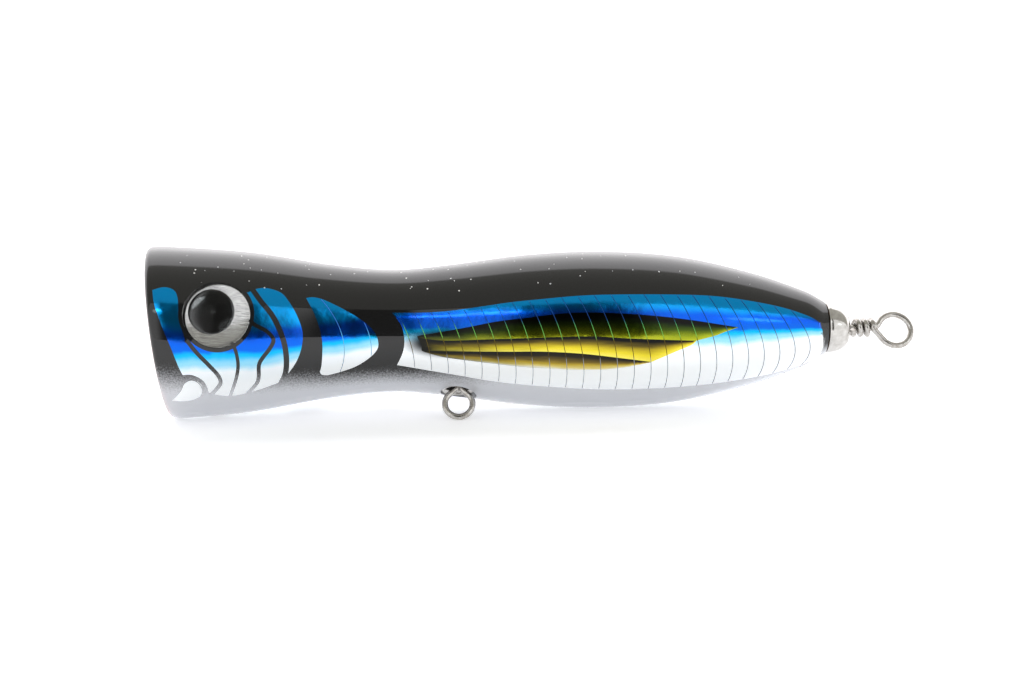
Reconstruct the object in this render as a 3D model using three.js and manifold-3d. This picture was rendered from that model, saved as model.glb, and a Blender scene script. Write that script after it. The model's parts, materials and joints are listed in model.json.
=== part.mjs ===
// A through-wired topwater popper: a turned timber plug with a cupped, raked face, foil flanks,
// moulded eyes, lead ballast, and one long stainless wire that ends in a wound eye at each end and
// holds a barrel swivel in the belly. Millimetres.
//
// The lure is drawn upright in its own frame: x runs from the cup (0) to the tail, -Y is its left
// side and +Z its back. The exported group then lays it on a flat surface the way it comes to rest,
// on the cup's lip, the belly and the swivel's eye, leaning over on its left side.
import * as THREE from 'three';
import { mergeVertices } from 'three/addons/utils/BufferGeometryUtils.js';
import Module from 'manifold-3d';

const wasm = await Module();
wasm.setup();

// ---- Driving dimensions -------------------------------------------------------------------------
const bodyLength = 160; // cup's lip, at its centre, to the tail's end
const lipRadius = 20.4; // largest radius of the head, just behind the lip
const waistRadius = 14.65;
const bellyRadius = 18.82;
const tailRadius = 6.3;
const tailChamfer = 0.6;
const bellyShare = 0.655; // where along the body the belly is fullest

const gap = 0.3; // between pieces that bear on each other
const roundSides = 36; // facets round the timber
const smallSides = 20; // facets round the fittings
const eyeSides = 32;
const wireSides = 8;

const cup = {
  rake: THREE.MathUtils.degToRad(7.7), // upper lip stands forward
  rakeEnd: 32, // the rake has died out this far back
  depth: 14.5,
  lipLand: 0.9, // flat of the lip
  lipRound: 1.4, // radius of the lip's outer edge
  rings: 6,
};

const wire = {
  radius: 0.75,
  eyeRadius: 4.05, // centreline of the wound eyes
  eyeDrop: 0.7, // the eye's centre hangs this far below the wire's line
  wraps: 3,
  wrapPitch: 1.72,
  wrapClearance: 0.12, // between the wraps and the shank that they are wound on
  boreClearance: 0.5, // round the shank in the timber
  wrapToEye: 5.4, // first wrap to the eye's centre
  pointsPerTurn: 9,
};

const noseFerrule = {
  wrapClearance: 0.55, // round the wraps
  wall: 0.5,
  flangeWidth: 0.9,
  flangeThickness: 0.7,
  extraLength: 2.2, // beyond the wraps
  endWall: 0.8,
};

const tailCap = {
  length: 5.4,
  endMargin: 0.75, // flat that the wraps bear on, beyond the wraps
  spigotWall: 1.1,
  spigotLength: 6,
};

const eye = {
  radius: 7.5,
  x: 16,
  drop: THREE.MathUtils.degToRad(7), // below the lure's mid-height
  irisThickness: 1.0,
  lensEdge: 0.5,
  pupilRadius: 5.2,
  pupilOffset: [-1.45, 1], // forward and up
  pupilThickness: 0.5,
  irisFloor: 0.4, // iris left under the pupil
  sideClearance: 0.3,
};

const swivel = {
  x: bodyLength * 0.444,
  lean: THREE.MathUtils.degToRad(4.5), // swung this far to the left at rest, against the ferrule
  upperWire: 0.6,
  upperEyeRadius: 1.95, // centreline
  neckRadius: 0.85,
  headRadius: 1.4,
  headLength: 0.9,
  barrelTop: 4.2, // from the through-wire
  barrelInset: 4.3, // end of the barrel, up from the ferrule's face
  barrelRadius: 2.2,
  barrelWall: 0.5,
  barrelEndWall: 1.0,
  throatClearance: 0.3,
  lowerWire: 0.8,
  lowerEyeRadius: 3.3, // centreline
  lowerEyeReach: 7.75, // far end of the hook eye, out from the ferrule's face
  lowerNeckRadius: 1.1,
};

const bellyFerrule = {
  sink: 0.8, // outer face, below the timber's surface
  boreClearance: 0.8, // round the swivel's barrel
  wall: 0.5,
  flangeWidth: 0.45,
  flangeThickness: 0.4,
  mouthFlare: 0.5,
  mouthDepth: 0.7,
  length: 3.1,
};

const pocket = { clearance: 1.15, top: 3.6 }; // round the barrel, and above the through-wire

const ballast = {
  radius: 6,
  middle: bodyLength * 0.653,
  spacing: 15.5,
  names: ['front', 'middle', 'rear'],
  top: 3.4, // nearest point to the through-wire
  plugLength: 3.8, // at the middle plug's centre
};

const foil = { thickness: 0.25, edgeClearance: 0.45, eyeMargin: 0.6 };

const rest = { roll: THREE.MathUtils.degToRad(28.5) }; // the belly is turned to the left

// ---- The timber's outline ------------------------------------------------------------------------
// Radius along the body, through the stations that its shape turns on.
const outline = new THREE.SplineCurve([
  new THREE.Vector2(-4, lipRadius),
  new THREE.Vector2(5, lipRadius),
  new THREE.Vector2(bodyLength * 0.14, lipRadius - 1.45),
  new THREE.Vector2(bodyLength * 0.25, waistRadius + 1.4),
  new THREE.Vector2(bodyLength * 0.345, waistRadius),
  new THREE.Vector2(bodyLength * 0.425, waistRadius + 0.97),
  new THREE.Vector2(bodyLength * 0.545, bellyRadius - 0.8),
  new THREE.Vector2(bodyLength * bellyShare, bellyRadius),
  new THREE.Vector2(bodyLength * 0.775, bellyRadius - 1.3),
  new THREE.Vector2(bodyLength * 0.885, bellyRadius - 5.2),
  new THREE.Vector2(bodyLength * 0.965, tailRadius + 3),
  new THREE.Vector2(bodyLength - tailChamfer, tailRadius + 0.4),
]);
const outlineRows = 24;
const outlinePoints = outline.getPoints(outlineRows * 4);

function bodyRadius(x) {
  const after = outlinePoints.findIndex((p) => p.x >= x);
  if (after < 1) return outlinePoints.at(after < 0 ? -1 : 0).y;
  const [a, b] = [outlinePoints[after - 1], outlinePoints[after]];
  return THREE.MathUtils.mapLinear(x, a.x, b.x, a.y, b.y);
}

// ---- Sizes that follow ---------------------------------------------------------------------------
const boreRadius = wire.radius + wire.boreClearance;
const wireHole = boreRadius - 0.15; // the wire's hole in the nose ferrule and the tail cap
const wrapRadius = 2 * wire.radius + wire.wrapClearance; // centreline of the wraps
const wrapsRadius = wrapRadius + wire.radius;
const wrapsLength = wire.wraps * wire.wrapPitch;

const noseFerruleBore = wrapsRadius + noseFerrule.wrapClearance;
const noseFerruleTube = noseFerruleBore + noseFerrule.wall;
const noseFerruleFlange = noseFerruleTube + noseFerrule.flangeWidth;
const noseFerruleLength = wrapsLength + noseFerrule.extraLength;
const noseFerruleFace = cup.depth - noseFerrule.flangeThickness / 2; // part way into the cup's floor

const tailCapEnd = wrapsRadius + tailCap.endMargin;
const tailSpigot = wireHole + tailCap.spigotWall;

const bellyFerruleBore = swivel.barrelRadius + bellyFerrule.boreClearance;
const bellyFerruleTube = bellyFerruleBore + bellyFerrule.wall;
const bellyFerruleFlange = bellyFerruleTube + bellyFerrule.flangeWidth;
const bellyFerruleFace = bodyRadius(swivel.x) - bellyFerrule.sink; // from the through-wire
const barrelEnd = bellyFerruleFace - swivel.barrelInset;
const lowerEyeEnd = bellyFerruleFace + swivel.lowerEyeReach;
const pocketRadius = swivel.barrelRadius + pocket.clearance;

const ballastStations = [-1, 0, 1].map((i) => ballast.middle + i * ballast.spacing);
const ballastEnd = bellyRadius - ballast.plugLength - gap;

// Leans everything near the cup so that its upper lip stands forward.
function raked(geometry) {
  const at = geometry.getAttribute('position');
  for (let i = 0; i < at.count; i++) {
    const share = 1 - THREE.MathUtils.smoothstep(at.getX(i), 0, cup.rakeEnd);
    at.setX(i, at.getX(i) - Math.tan(cup.rake) * at.getZ(i) * share);
  }
  return geometry;
}

// ---- Solids --------------------------------------------------------------------------------------
function solid(geometry) {
  const bare = geometry.index ? geometry.toNonIndexed() : geometry.clone();
  bare.deleteAttribute('normal');
  bare.deleteAttribute('uv');
  const merged = mergeVertices(bare, 1e-4);
  return new wasm.Manifold(
    new wasm.Mesh({
      numProp: 3,
      vertProperties: merged.getAttribute('position').array,
      triVerts: new Uint32Array(merged.index.array),
    }),
  );
}

function geometryOf(body) {
  const mesh = body.getMesh();
  const geometry = new THREE.BufferGeometry();
  geometry.setAttribute('position', new THREE.BufferAttribute(mesh.vertProperties.slice(), 3));
  geometry.setIndex(new THREE.BufferAttribute(mesh.triVerts.slice(), 1));
  geometry.computeVertexNormals();
  return geometry;
}

// A profile of [distance along the axis, radius], turned about +X. It starts and ends on the axis or
// closes on itself, and runs so that the material is on its right.
function turned(profile, sides = smallSides) {
  const points = profile.map(([along, radius]) => new THREE.Vector2(radius, along));
  return new THREE.LatheGeometry(points, sides).rotateZ(-Math.PI / 2);
}

// The same, turned about -Z, for what is let into the belly: distances grow downwards.
const turnedDown = (profile, sides) => turned(profile, sides).rotateY(Math.PI / 2);

const rod = (from, to, radius, sides) =>
  turned([[from, 0], [from, radius], [to, radius], [to, 0]], sides);

const rodDown = (from, to, radius, sides) => rod(from, to, radius, sides).rotateY(Math.PI / 2);

// A curve whose steps are even from one given point to the next, not along its length.
class StationCurve extends THREE.CatmullRomCurve3 {
  getUtoTmapping(u) {
    return u;
  }
}

// flatAt is the index of a point where one of the tube's flats is to face sideways.
function tube(points, radius, flatAt, sides = wireSides) {
  const path = new StationCurve(points, false, 'centripetal');
  const steps = points.length - 1;
  const { normals, binormals } = path.computeFrenetFrames(steps, false);
  const sideways = Math.atan2(binormals[flatAt].y, normals[flatAt].y);
  const section = new THREE.Shape();
  for (let i = 0; i < sides; i++) {
    const turn = sideways + ((i + 0.5) / sides) * 2 * Math.PI;
    const to = [radius * Math.cos(turn), radius * Math.sin(turn)];
    if (i) section.lineTo(...to);
    else section.moveTo(...to);
  }
  return new THREE.ExtrudeGeometry(section, { extrudePath: path, steps, bevelEnabled: false });
}

const materials = {
  timber: new THREE.MeshStandardMaterial({ color: 0x17181b, roughness: 0.18 }),
  dowel: new THREE.MeshStandardMaterial({ color: 0xb9bcc2, roughness: 0.3 }),
  steel: new THREE.MeshStandardMaterial({ color: 0xd8d8d6, roughness: 0.14, metalness: 1 }),
  brass: new THREE.MeshStandardMaterial({ color: 0x8f8c84, roughness: 0.25, metalness: 1 }),
  lead: new THREE.MeshStandardMaterial({ color: 0x5c6066, roughness: 0.6, metalness: 0.8 }),
  foil: new THREE.MeshStandardMaterial({ color: 0x2f93d8, roughness: 0.2, metalness: 0.9 }),
  iris: new THREE.MeshStandardMaterial({ color: 0xc7c6c4, roughness: 0.35, metalness: 0.8 }),
  pupil: new THREE.MeshStandardMaterial({ color: 0x050506, roughness: 0.1 }),
  lens: new THREE.MeshStandardMaterial({ color: 0xf4f6f8, roughness: 0.03 }),
};

function mesh(name, geometry, material) {
  const made = new THREE.Mesh(geometry, material);
  made.name = name;
  return made;
}

// ---- Timber body ---------------------------------------------------------------------------------
const lipInner = lipRadius - cup.lipRound - cup.lipLand;

// The cup is a paraboloid, so its wall stays thick beside the eye sockets.
function cupProfile() {
  const points = [];
  for (let i = 0; i <= cup.rings; i++) {
    const radius = (lipInner * i) / cup.rings;
    points.push([cup.depth * (1 - (radius / lipInner) ** 2), radius]);
  }
  return points;
}

function lipProfile() {
  const steps = 4;
  const points = [];
  for (let i = 0; i <= steps; i++) {
    const turn = (i / steps) * (Math.PI / 2);
    points.push([
      cup.lipRound * (1 - Math.cos(turn)),
      lipRadius - cup.lipRound * (1 - Math.sin(turn)),
    ]);
  }
  return points;
}

function outerProfile(inset = 0) {
  const from = cup.lipRound + 1.5;
  const points = [];
  for (let i = 0; i <= outlineRows; i++) {
    const x = THREE.MathUtils.mapLinear(i, 0, outlineRows, from, bodyLength - tailChamfer);
    points.push([x, bodyRadius(x) - inset]);
  }
  return points;
}

const bodyProfile = [
  ...cupProfile(),
  ...lipProfile(),
  ...outerProfile(),
  [bodyLength, tailRadius],
  [bodyLength, 0],
];

const timberStock = solid(raked(turned(bodyProfile, roundSides)));

// A skin just under the timber's surface, used to cut the foils and their seats.
function skin(outer, inner) {
  const profile = [...outerProfile(outer), ...outerProfile(inner).reverse()];
  return solid(raked(turned([...profile, profile[0]], roundSides)));
}

// ---- Eye sockets ---------------------------------------------------------------------------------
// Levels along the eye's own axis, measured from the lure's axis.
const eyeFlat = Math.sqrt(bodyRadius(eye.x) ** 2 - eye.radius ** 2); // where the rim meets the surface
const lensBase = eyeFlat - eye.lensEdge;
const irisFace = lensBase - gap;
const irisBase = irisFace - eye.irisThickness;
const socketFloor = irisBase - gap;

// Turns a piece drawn about +Z out to the left or the right side.
function facingOut(geometry, side) {
  const angle = side === 'left' ? Math.PI / 2 + eye.drop : -Math.PI / 2 - eye.drop;
  return geometry.rotateX(angle).translate(eye.x, 0, 0);
}

const upright = (profile, sides) => turned(profile, sides).rotateY(-Math.PI / 2);

function socket(side, floor = socketFloor, spread = 0) {
  const radius = eye.radius + eye.sideClearance + spread;
  const outside = lipRadius + 2;
  const profile = [[floor, 0], [floor, radius], [outside, radius], [outside, 0]];
  return solid(facingOut(upright(profile, eyeSides), side));
}

// ---- Ballast and its plugs -----------------------------------------------------------------------
const clearOfBelly = Math.max(lipRadius, bellyRadius) + 2; // past the timber's surface

// A hole along the body, and a hole let into the belly.
const hole = (from, to, radius) => solid(rod(from, to, radius + gap));
const bellyHole = (x, from, radius) => solid(rodDown(from, clearOfBelly, radius + gap).translate(x, 0, 0));

const behindCup = cup.depth + 5.5;
const plugStock = solid(
  turned([[behindCup, 0], ...outerProfile().filter(([x]) => x > behindCup), [bodyLength, 0]], roundSides),
);

const plugs = ballastStations.map((x) =>
  plugStock.intersect(
    solid(rodDown(ballastEnd + gap, lipRadius + 2, ballast.radius).translate(x, 0, 0)),
  ),
);
const plugHoles = ballastStations.map((x) => bellyHole(x, ballast.top - gap, ballast.radius));

// ---- Foil panels ---------------------------------------------------------------------------------
// Outlines on the left side, clockwise, as percent of the body's length and degrees above mid-height.
const foilPanels = {
  gill: [[2.3, 9.5], [7.5, 10.5], [16.3, 13], [20.2, 3.4], [22, -18], [21.6, -36], [19.4, -55], [15, -65],
         [6.3, -68], [4.1, -60], [3, -30]],
  shoulder: [[22.8, 8.5], [25, 8], [28.8, -3], [31.9, -17], [32.8, -30], [31.3, -44], [28.1, -54],
             [24.7, -58], [24.7, -30], [23.6, -6]],
  flank: [[35.6, -3.5], [38.8, -3], [50, 1.2], [62.5, 5.7], [75, 7], [88.8, 8], [93.8, 5], [98, -6],
          [99, -30], [98, -60], [88.8, -66], [80, -67], [66.9, -67.5], [50, -63.5], [38.8, -55.5],
          [35.6, -52], [36.4, -27]],
};

function onLeftSide([percent, degrees]) {
  const x = (percent / 100) * bodyLength;
  return new THREE.Vector2(x, bodyRadius(x) * Math.sin(THREE.MathUtils.degToRad(degrees)));
}

// Moves a clockwise outline outwards along its own normals.
function spread(points, by) {
  return points.map((point, i) => {
    const along = points[(i + 1) % points.length].clone().sub(points.at(i - 1)).normalize();
    return new THREE.Vector2(point.x - along.y * by, point.y + along.x * by);
  });
}

// The outline's own y is the lure's height, and the prism reaches out to -Y.
function panelPrism(points) {
  const shape = new THREE.Shape(points);
  const geometry = new THREE.ExtrudeGeometry(shape, { depth: lipRadius * 1.2, bevelEnabled: false });
  return solid(geometry.rotateX(Math.PI / 2));
}

const mirrored = (body) => body.mirror([0, 1, 0]);

const foilSkin = skin(0, foil.thickness);
const foilSeat = skin(-1, foil.thickness + gap);
const foils = {};
const foilSeats = [];
for (const [name, corners] of Object.entries(foilPanels)) {
  const closed = new THREE.SplineCurve([...corners, corners[0]].map(onLeftSide));
  const points = closed.getPoints(corners.length * 2).slice(0, -1);
  const clearances = [socket('left', 0, foil.eyeMargin), ...plugHoles];
  foils[name] = clearances.reduce((panel, cut) => panel.subtract(cut), foilSkin.intersect(panelPrism(points)));
  foilSeats.push(foilSeat.intersect(panelPrism(spread(points, foil.edgeClearance))));
}

// ---- Cuts in the timber --------------------------------------------------------------------------
const cuts = [
  solid(rod(cup.depth - 2, bodyLength + 1, boreRadius, 16)),
  hole(cup.depth - 4, noseFerruleFace + noseFerrule.flangeThickness + gap, noseFerruleFlange),
  hole(cup.depth - 2, noseFerruleFace + noseFerruleLength + gap, noseFerruleTube),
  hole(bodyLength - tailCap.spigotLength - gap, bodyLength + 1, tailSpigot),
  solid(rodDown(-pocket.top, clearOfBelly, pocketRadius).translate(swivel.x, 0, 0)),
  bellyHole(swivel.x, bellyFerruleFace - bellyFerrule.length - gap, bellyFerruleTube),
  bellyHole(swivel.x, bellyFerruleFace - bellyFerrule.flangeThickness - gap, bellyFerruleFlange),
  socket('left'),
  socket('right'),
  ...plugHoles,
  ...foilSeats,
  ...foilSeats.map(mirrored),
];

const timber = cuts.reduce((body, cut) => body.subtract(cut), timberStock);

// ---- Ferrules and tail cap -----------------------------------------------------------------------
function noseFerruleGeometry() {
  const { flangeThickness, endWall } = noseFerrule;
  const edge = 0.3;
  return turned([
    [0, noseFerruleBore], [0, noseFerruleFlange - edge], [edge, noseFerruleFlange],
    [flangeThickness, noseFerruleFlange], [flangeThickness, noseFerruleTube],
    [noseFerruleLength, noseFerruleTube], [noseFerruleLength, wireHole],
    [noseFerruleLength - endWall, wireHole], [noseFerruleLength - endWall, noseFerruleBore],
    [0, noseFerruleBore],
  ]).translate(noseFerruleFace, 0, 0);
}

function bellyFerruleGeometry() {
  const { flangeThickness, mouthDepth, mouthFlare, length } = bellyFerrule;
  const face = bellyFerruleFace;
  return turnedDown([
    [face - length, bellyFerruleBore], [face - length, bellyFerruleTube],
    [face - flangeThickness, bellyFerruleTube], [face - flangeThickness, bellyFerruleFlange],
    [face, bellyFerruleFlange], [face, bellyFerruleBore + mouthFlare],
    [face - mouthDepth, bellyFerruleBore], [face - length, bellyFerruleBore],
  ]).translate(swivel.x, 0, 0);
}

function tailCapGeometry() {
  const { length, spigotLength } = tailCap;
  const steps = 6;
  const dome = [];
  for (let i = 0; i <= steps; i++) {
    const turn = (i / steps) * (Math.PI / 2);
    dome.push([length * Math.sin(turn), tailCapEnd + (tailRadius - tailCapEnd) * Math.cos(turn)]);
  }
  return turned([
    [-spigotLength, wireHole], [-spigotLength, tailSpigot], [0, tailSpigot],
    ...dome, [length, wireHole], [-spigotLength, wireHole],
  ]).translate(bodyLength + gap, 0, 0);
}

// ---- Through-wire --------------------------------------------------------------------------------
// One wound eye, from the shank out and round and back into the wraps. end is where the last wrap
// stops, and towards is +1 at the tail and -1 at the nose.
function woundEye(end, towards) {
  const firstWrap = end + towards * wrapsLength;
  const centre = firstWrap + towards * wire.wrapToEye;
  const points = [
    new THREE.Vector3(end, 0, 0),
    new THREE.Vector3(firstWrap - towards, 0, 0),
    new THREE.Vector3(firstWrap + towards * 0.9, 0, 0.12),
  ];
  const loopSteps = 16;
  const leave = THREE.MathUtils.degToRad(140);
  const meet = THREE.MathUtils.degToRad(-138);
  for (let i = 0; i <= loopSteps; i++) {
    const turn = THREE.MathUtils.lerp(leave, meet, i / loopSteps);
    const aside = -0.35 * wrapRadius * THREE.MathUtils.smoothstep(i / loopSteps, 0.6, 1);
    points.push(
      new THREE.Vector3(
        centre + towards * wire.eyeRadius * Math.cos(turn),
        aside,
        wire.eyeRadius * Math.sin(turn) - wire.eyeDrop,
      ),
    );
  }
  const wrapSteps = wire.wraps * wire.pointsPerTurn;
  for (let i = 0; i <= wrapSteps; i++) {
    const turn = (i / wire.pointsPerTurn) * 2 * Math.PI - 0.55;
    points.push(
      new THREE.Vector3(
        firstWrap + towards * (0.1 - (i / wire.pointsPerTurn) * wire.wrapPitch),
        -wrapRadius * Math.cos(turn),
        wrapRadius * Math.sin(turn),
      ),
    );
  }
  return points;
}

const tailWrapEnd = bodyLength + gap + tailCap.length + gap + wire.radius;
const noseWrapEnd = noseFerruleFace + noseFerruleLength - noseFerrule.endWall - gap - wire.radius;

const noseEyePoints = woundEye(noseWrapEnd, -1).reverse();
const wirePoints = [
  ...noseEyePoints,
  new THREE.Vector3(noseWrapEnd + 6, 0, 0),
  new THREE.Vector3(swivel.x, 0, 0),
  new THREE.Vector3(tailWrapEnd - 12, 0, 0),
  ...woundEye(tailWrapEnd, 1),
];

// ---- Belly swivel, drawn hanging straight down from the through-wire -------------------------------
const seatOnWire = -(wire.radius + 0.1); // inside of the upper eye, just above the through-wire
const upperCentre = seatOnWire + swivel.upperEyeRadius - swivel.upperWire;
const upperNeckFrom = upperCentre + swivel.upperEyeRadius;
const upperHeadFrom = swivel.barrelTop + swivel.barrelEndWall + gap;
const lowerCentre = lowerEyeEnd - swivel.lowerWire - swivel.lowerEyeRadius;
const lowerHeadEnd = barrelEnd - swivel.barrelEndWall - gap;

function ring(centre, radius, thickness, steps) {
  const points = [];
  for (let i = 0; i < steps; i++) {
    const turn = (i / steps) * 2 * Math.PI;
    points.push([thickness * Math.cos(turn) + radius, thickness * Math.sin(turn)]);
  }
  const section = points.map(([r, along]) => new THREE.Vector2(r, along));
  return new THREE.LatheGeometry([...section, section[0]], smallSides).translate(0, 0, -centre);
}

function upperEyeSolid() {
  const { upperEyeRadius, upperWire } = swivel;
  const loop = solid(ring(upperCentre, upperEyeRadius, upperWire, wireSides).rotateZ(Math.PI / 2));
  const neck = solid(rodDown(upperNeckFrom, upperHeadFrom + 0.2, swivel.neckRadius, 12));
  const head = solid(rodDown(upperHeadFrom, upperHeadFrom + swivel.headLength, swivel.headRadius, 16));
  return loop.add(neck).add(head);
}

function lowerEyeSolid() {
  const loop = solid(ring(lowerCentre, swivel.lowerEyeRadius, swivel.lowerWire, 10));
  const crown = lowerCentre - swivel.lowerEyeRadius;
  const neck = solid(
    turnedDown([
      [lowerHeadEnd - 0.2, 0], [lowerHeadEnd - 0.2, swivel.lowerNeckRadius],
      [crown - 1.4, swivel.lowerNeckRadius], [crown - 0.2, swivel.lowerNeckRadius + 0.25], [crown + 0.2, 0],
    ], 12),
  );
  const head = solid(rodDown(lowerHeadEnd - swivel.headLength, lowerHeadEnd, swivel.headRadius + 0.15, 16));
  return loop.add(neck).add(head);
}

function barrelGeometry() {
  const { barrelTop, barrelRadius, barrelWall, barrelEndWall, throatClearance } = swivel;
  const inside = barrelRadius - barrelWall;
  const upperThroat = swivel.neckRadius + throatClearance;
  const lowerThroat = swivel.lowerNeckRadius + throatClearance;
  return turnedDown([
    [barrelTop, upperThroat], [barrelTop, barrelRadius - 0.6], [barrelTop + 0.6, barrelRadius],
    [barrelEnd - 0.6, barrelRadius], [barrelEnd, barrelRadius - 0.6], [barrelEnd, lowerThroat],
    [barrelEnd - barrelEndWall, lowerThroat], [barrelEnd - barrelEndWall, inside],
    [barrelTop + barrelEndWall, inside], [barrelTop + barrelEndWall, upperThroat], [barrelTop, upperThroat],
  ]);
}

// ---- Assembly ------------------------------------------------------------------------------------
const lure = new THREE.Group();
lure.add(
  mesh('body_blank', geometryOf(timber), materials.timber),
  mesh('nose_ferrule', noseFerruleGeometry(), materials.steel),
  mesh('tail_cap', tailCapGeometry(), materials.steel),
  mesh('belly_ferrule', bellyFerruleGeometry(), materials.steel),
  mesh('through_wire', tube(wirePoints, wire.radius, noseEyePoints.length), materials.steel),
);

const hanger = new THREE.Group(); // swings on the through-wire
hanger.position.x = swivel.x;
hanger.rotation.x = -swivel.lean;
hanger.add(
  mesh('swivel_upper_eye', geometryOf(upperEyeSolid()), materials.steel),
  mesh('swivel_barrel', barrelGeometry(), materials.brass),
  mesh('swivel_hook_eye', geometryOf(lowerEyeSolid()), materials.steel),
);
lure.add(hanger);

ballastStations.forEach((x, i) => {
  const slug = rodDown(ballast.top, ballastEnd, ballast.radius).translate(x, 0, 0);
  lure.add(
    mesh(`ballast_${ballast.names[i]}`, slug, materials.lead),
    mesh(`ballast_plug_${ballast.names[i]}`, geometryOf(plugs[i]), materials.dowel),
  );
});

function irisSolid(side) {
  const [forward, up] = eye.pupilOffset;
  const disc = solid(upright(
    [[irisBase, 0], [irisBase, eye.radius], [irisFace, eye.radius], [irisFace, 0]],
    eyeSides,
  ));
  const well = solid(
    upright([
      [irisBase + eye.irisFloor, 0], [irisBase + eye.irisFloor, eye.pupilRadius + 0.15],
      [irisFace + 1, eye.pupilRadius + 0.15], [irisFace + 1, 0],
    ]).translate(forward, side === 'left' ? up : -up, 0),
  );
  return disc.subtract(well);
}

function pupilGeometry(side) {
  const [forward, up] = eye.pupilOffset;
  const base = irisBase + eye.irisFloor + 0.1;
  const top = base + eye.pupilThickness;
  const disc = upright([[base, 0], [base, eye.pupilRadius], [top, eye.pupilRadius], [top, 0]], eyeSides);
  return disc.translate(forward, side === 'left' ? up : -up, 0);
}

function lensGeometry() {
  const rise = bodyRadius(eye.x) - eyeFlat;
  const sphere = (eye.radius ** 2 + rise ** 2) / (2 * rise);
  const dome = [];
  for (let i = 0; i <= 6; i++) {
    const radius = eye.radius * (1 - i / 6);
    dome.push([eyeFlat + Math.sqrt(sphere ** 2 - radius ** 2) - (sphere - rise), radius]);
  }
  return upright([[lensBase, 0], [lensBase, eye.radius], ...dome], eyeSides);
}

for (const side of ['left', 'right']) {
  lure.add(
    mesh(`${side}_eye_iris`, facingOut(geometryOf(irisSolid(side)), side), materials.iris),
    mesh(`${side}_eye_pupil`, facingOut(pupilGeometry(side), side), materials.pupil),
    mesh(`${side}_eye_lens`, facingOut(lensGeometry(), side), materials.lens),
  );
  for (const [name, panel] of Object.entries(foils)) {
    const made = side === 'left' ? panel : mirrored(panel);
    lure.add(mesh(`${side}_foil_${name}`, geometryOf(made), materials.foil));
  }
}

// ---- At rest -------------------------------------------------------------------------------------
// The lip and the belly touch the surface, so the lure's axis dips towards the tail by this much.
const lipStation = 5;
const dip = Math.atan2(lipRadius - bellyRadius, bodyLength * bellyShare - lipStation);

lure.rotation.x = -rest.roll;
const laid = new THREE.Group();
laid.rotation.y = dip;
laid.add(lure);

const popper = new THREE.Group();
popper.add(laid);
popper.updateMatrixWorld(true);
const box = new THREE.Box3().setFromObject(popper, true);
const middle = box.getCenter(new THREE.Vector3());
laid.position.set(-middle.x, -middle.y, -box.min.z);

export default popper;
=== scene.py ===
# A through-wired topwater popper, lying on its cup and belly with its left side to the camera.
# Sizes are in millimetres unless a name says otherwise, in the lure's own frame: x runs from the cup's
# lip to the tail along the wire, y to the lure's right and z to its back.
import json
import math

import bmesh
import bpy
import numpy as np
from mathutils import Matrix, Vector
from mathutils.geometry import delaunay_2d_cdt


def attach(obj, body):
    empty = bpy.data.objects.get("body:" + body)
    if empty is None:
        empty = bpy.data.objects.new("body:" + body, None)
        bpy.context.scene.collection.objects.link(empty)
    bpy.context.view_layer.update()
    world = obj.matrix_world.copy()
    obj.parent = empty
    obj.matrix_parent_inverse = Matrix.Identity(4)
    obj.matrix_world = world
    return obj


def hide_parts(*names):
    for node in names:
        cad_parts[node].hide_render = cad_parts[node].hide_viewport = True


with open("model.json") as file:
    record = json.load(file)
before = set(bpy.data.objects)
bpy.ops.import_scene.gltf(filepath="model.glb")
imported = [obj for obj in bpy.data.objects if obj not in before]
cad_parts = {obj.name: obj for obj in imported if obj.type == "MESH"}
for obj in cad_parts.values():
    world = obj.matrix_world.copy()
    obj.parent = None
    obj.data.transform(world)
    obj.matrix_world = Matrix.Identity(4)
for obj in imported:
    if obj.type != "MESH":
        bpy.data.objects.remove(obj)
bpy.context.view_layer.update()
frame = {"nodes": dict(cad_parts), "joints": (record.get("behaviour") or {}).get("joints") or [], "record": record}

# ---- How the lure lies ------------------------------------------------------------------------------
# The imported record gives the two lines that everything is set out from: the through-wire, which the
# swivel's joint turns on, and the flat side of the tail eye, which faces the lure's left.
swivel_station = 71.04
swing = next(joint for joint in frame["joints"] if joint["name"] == "swivel_swing")
tail_mount = next(mount for mount in frame["record"]["mounts"] if mount["name"] == "tail_eye")
millimetre = 0.001


def axes_at(origin, along, sideways):
    """A frame, in metres, with x along the first direction and y close to the second."""
    x = Vector(along).normalized()
    y = Vector(sideways)
    y = (y - x * y.dot(x)).normalized()
    turn = Matrix((x, y, x.cross(y))).transposed().to_4x4()
    return Matrix.Translation(origin) @ turn


nose = Vector(swing["pos_m"]) - Vector(swing["axis"]).normalized() * swivel_station * millimetre
lure_axes = axes_at(nose, swing["axis"], -Vector(tail_mount["axis"]))
lure_turn = lure_axes.to_3x3()


# ---- Timber body ------------------------------------------------------------------------------------
# A plug turned from light hardwood, bored right through for the wire, with a deep cup in a face that
# leans forward. It is sealed, airbrushed and dipped in a thick clear coat that rounds every edge.
body_length = 160
lip_radius = 20.4
belly_radius = 18.82
waist_radius = 14.65
tail_radius = 6.3
bore_radius = 1.25
rake = math.radians(7.7)
rake_end = 32
cup_depth = 14.5
lip_round = 1.4
lip_land = 0.9
body_columns = 192

body_stations = [
    (-4, lip_radius), (5, lip_radius), (0.14 * body_length, lip_radius - 1.45),
    (0.25 * body_length, waist_radius + 1.4), (0.345 * body_length, waist_radius),
    (0.425 * body_length, waist_radius + 0.97), (0.545 * body_length, belly_radius - 0.8),
    (0.655 * body_length, belly_radius), (0.775 * body_length, belly_radius - 1.3),
    (0.885 * body_length, belly_radius - 5.2), (0.965 * body_length, tail_radius + 3),
    (body_length - 0.6, tail_radius + 0.4),
]


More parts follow.
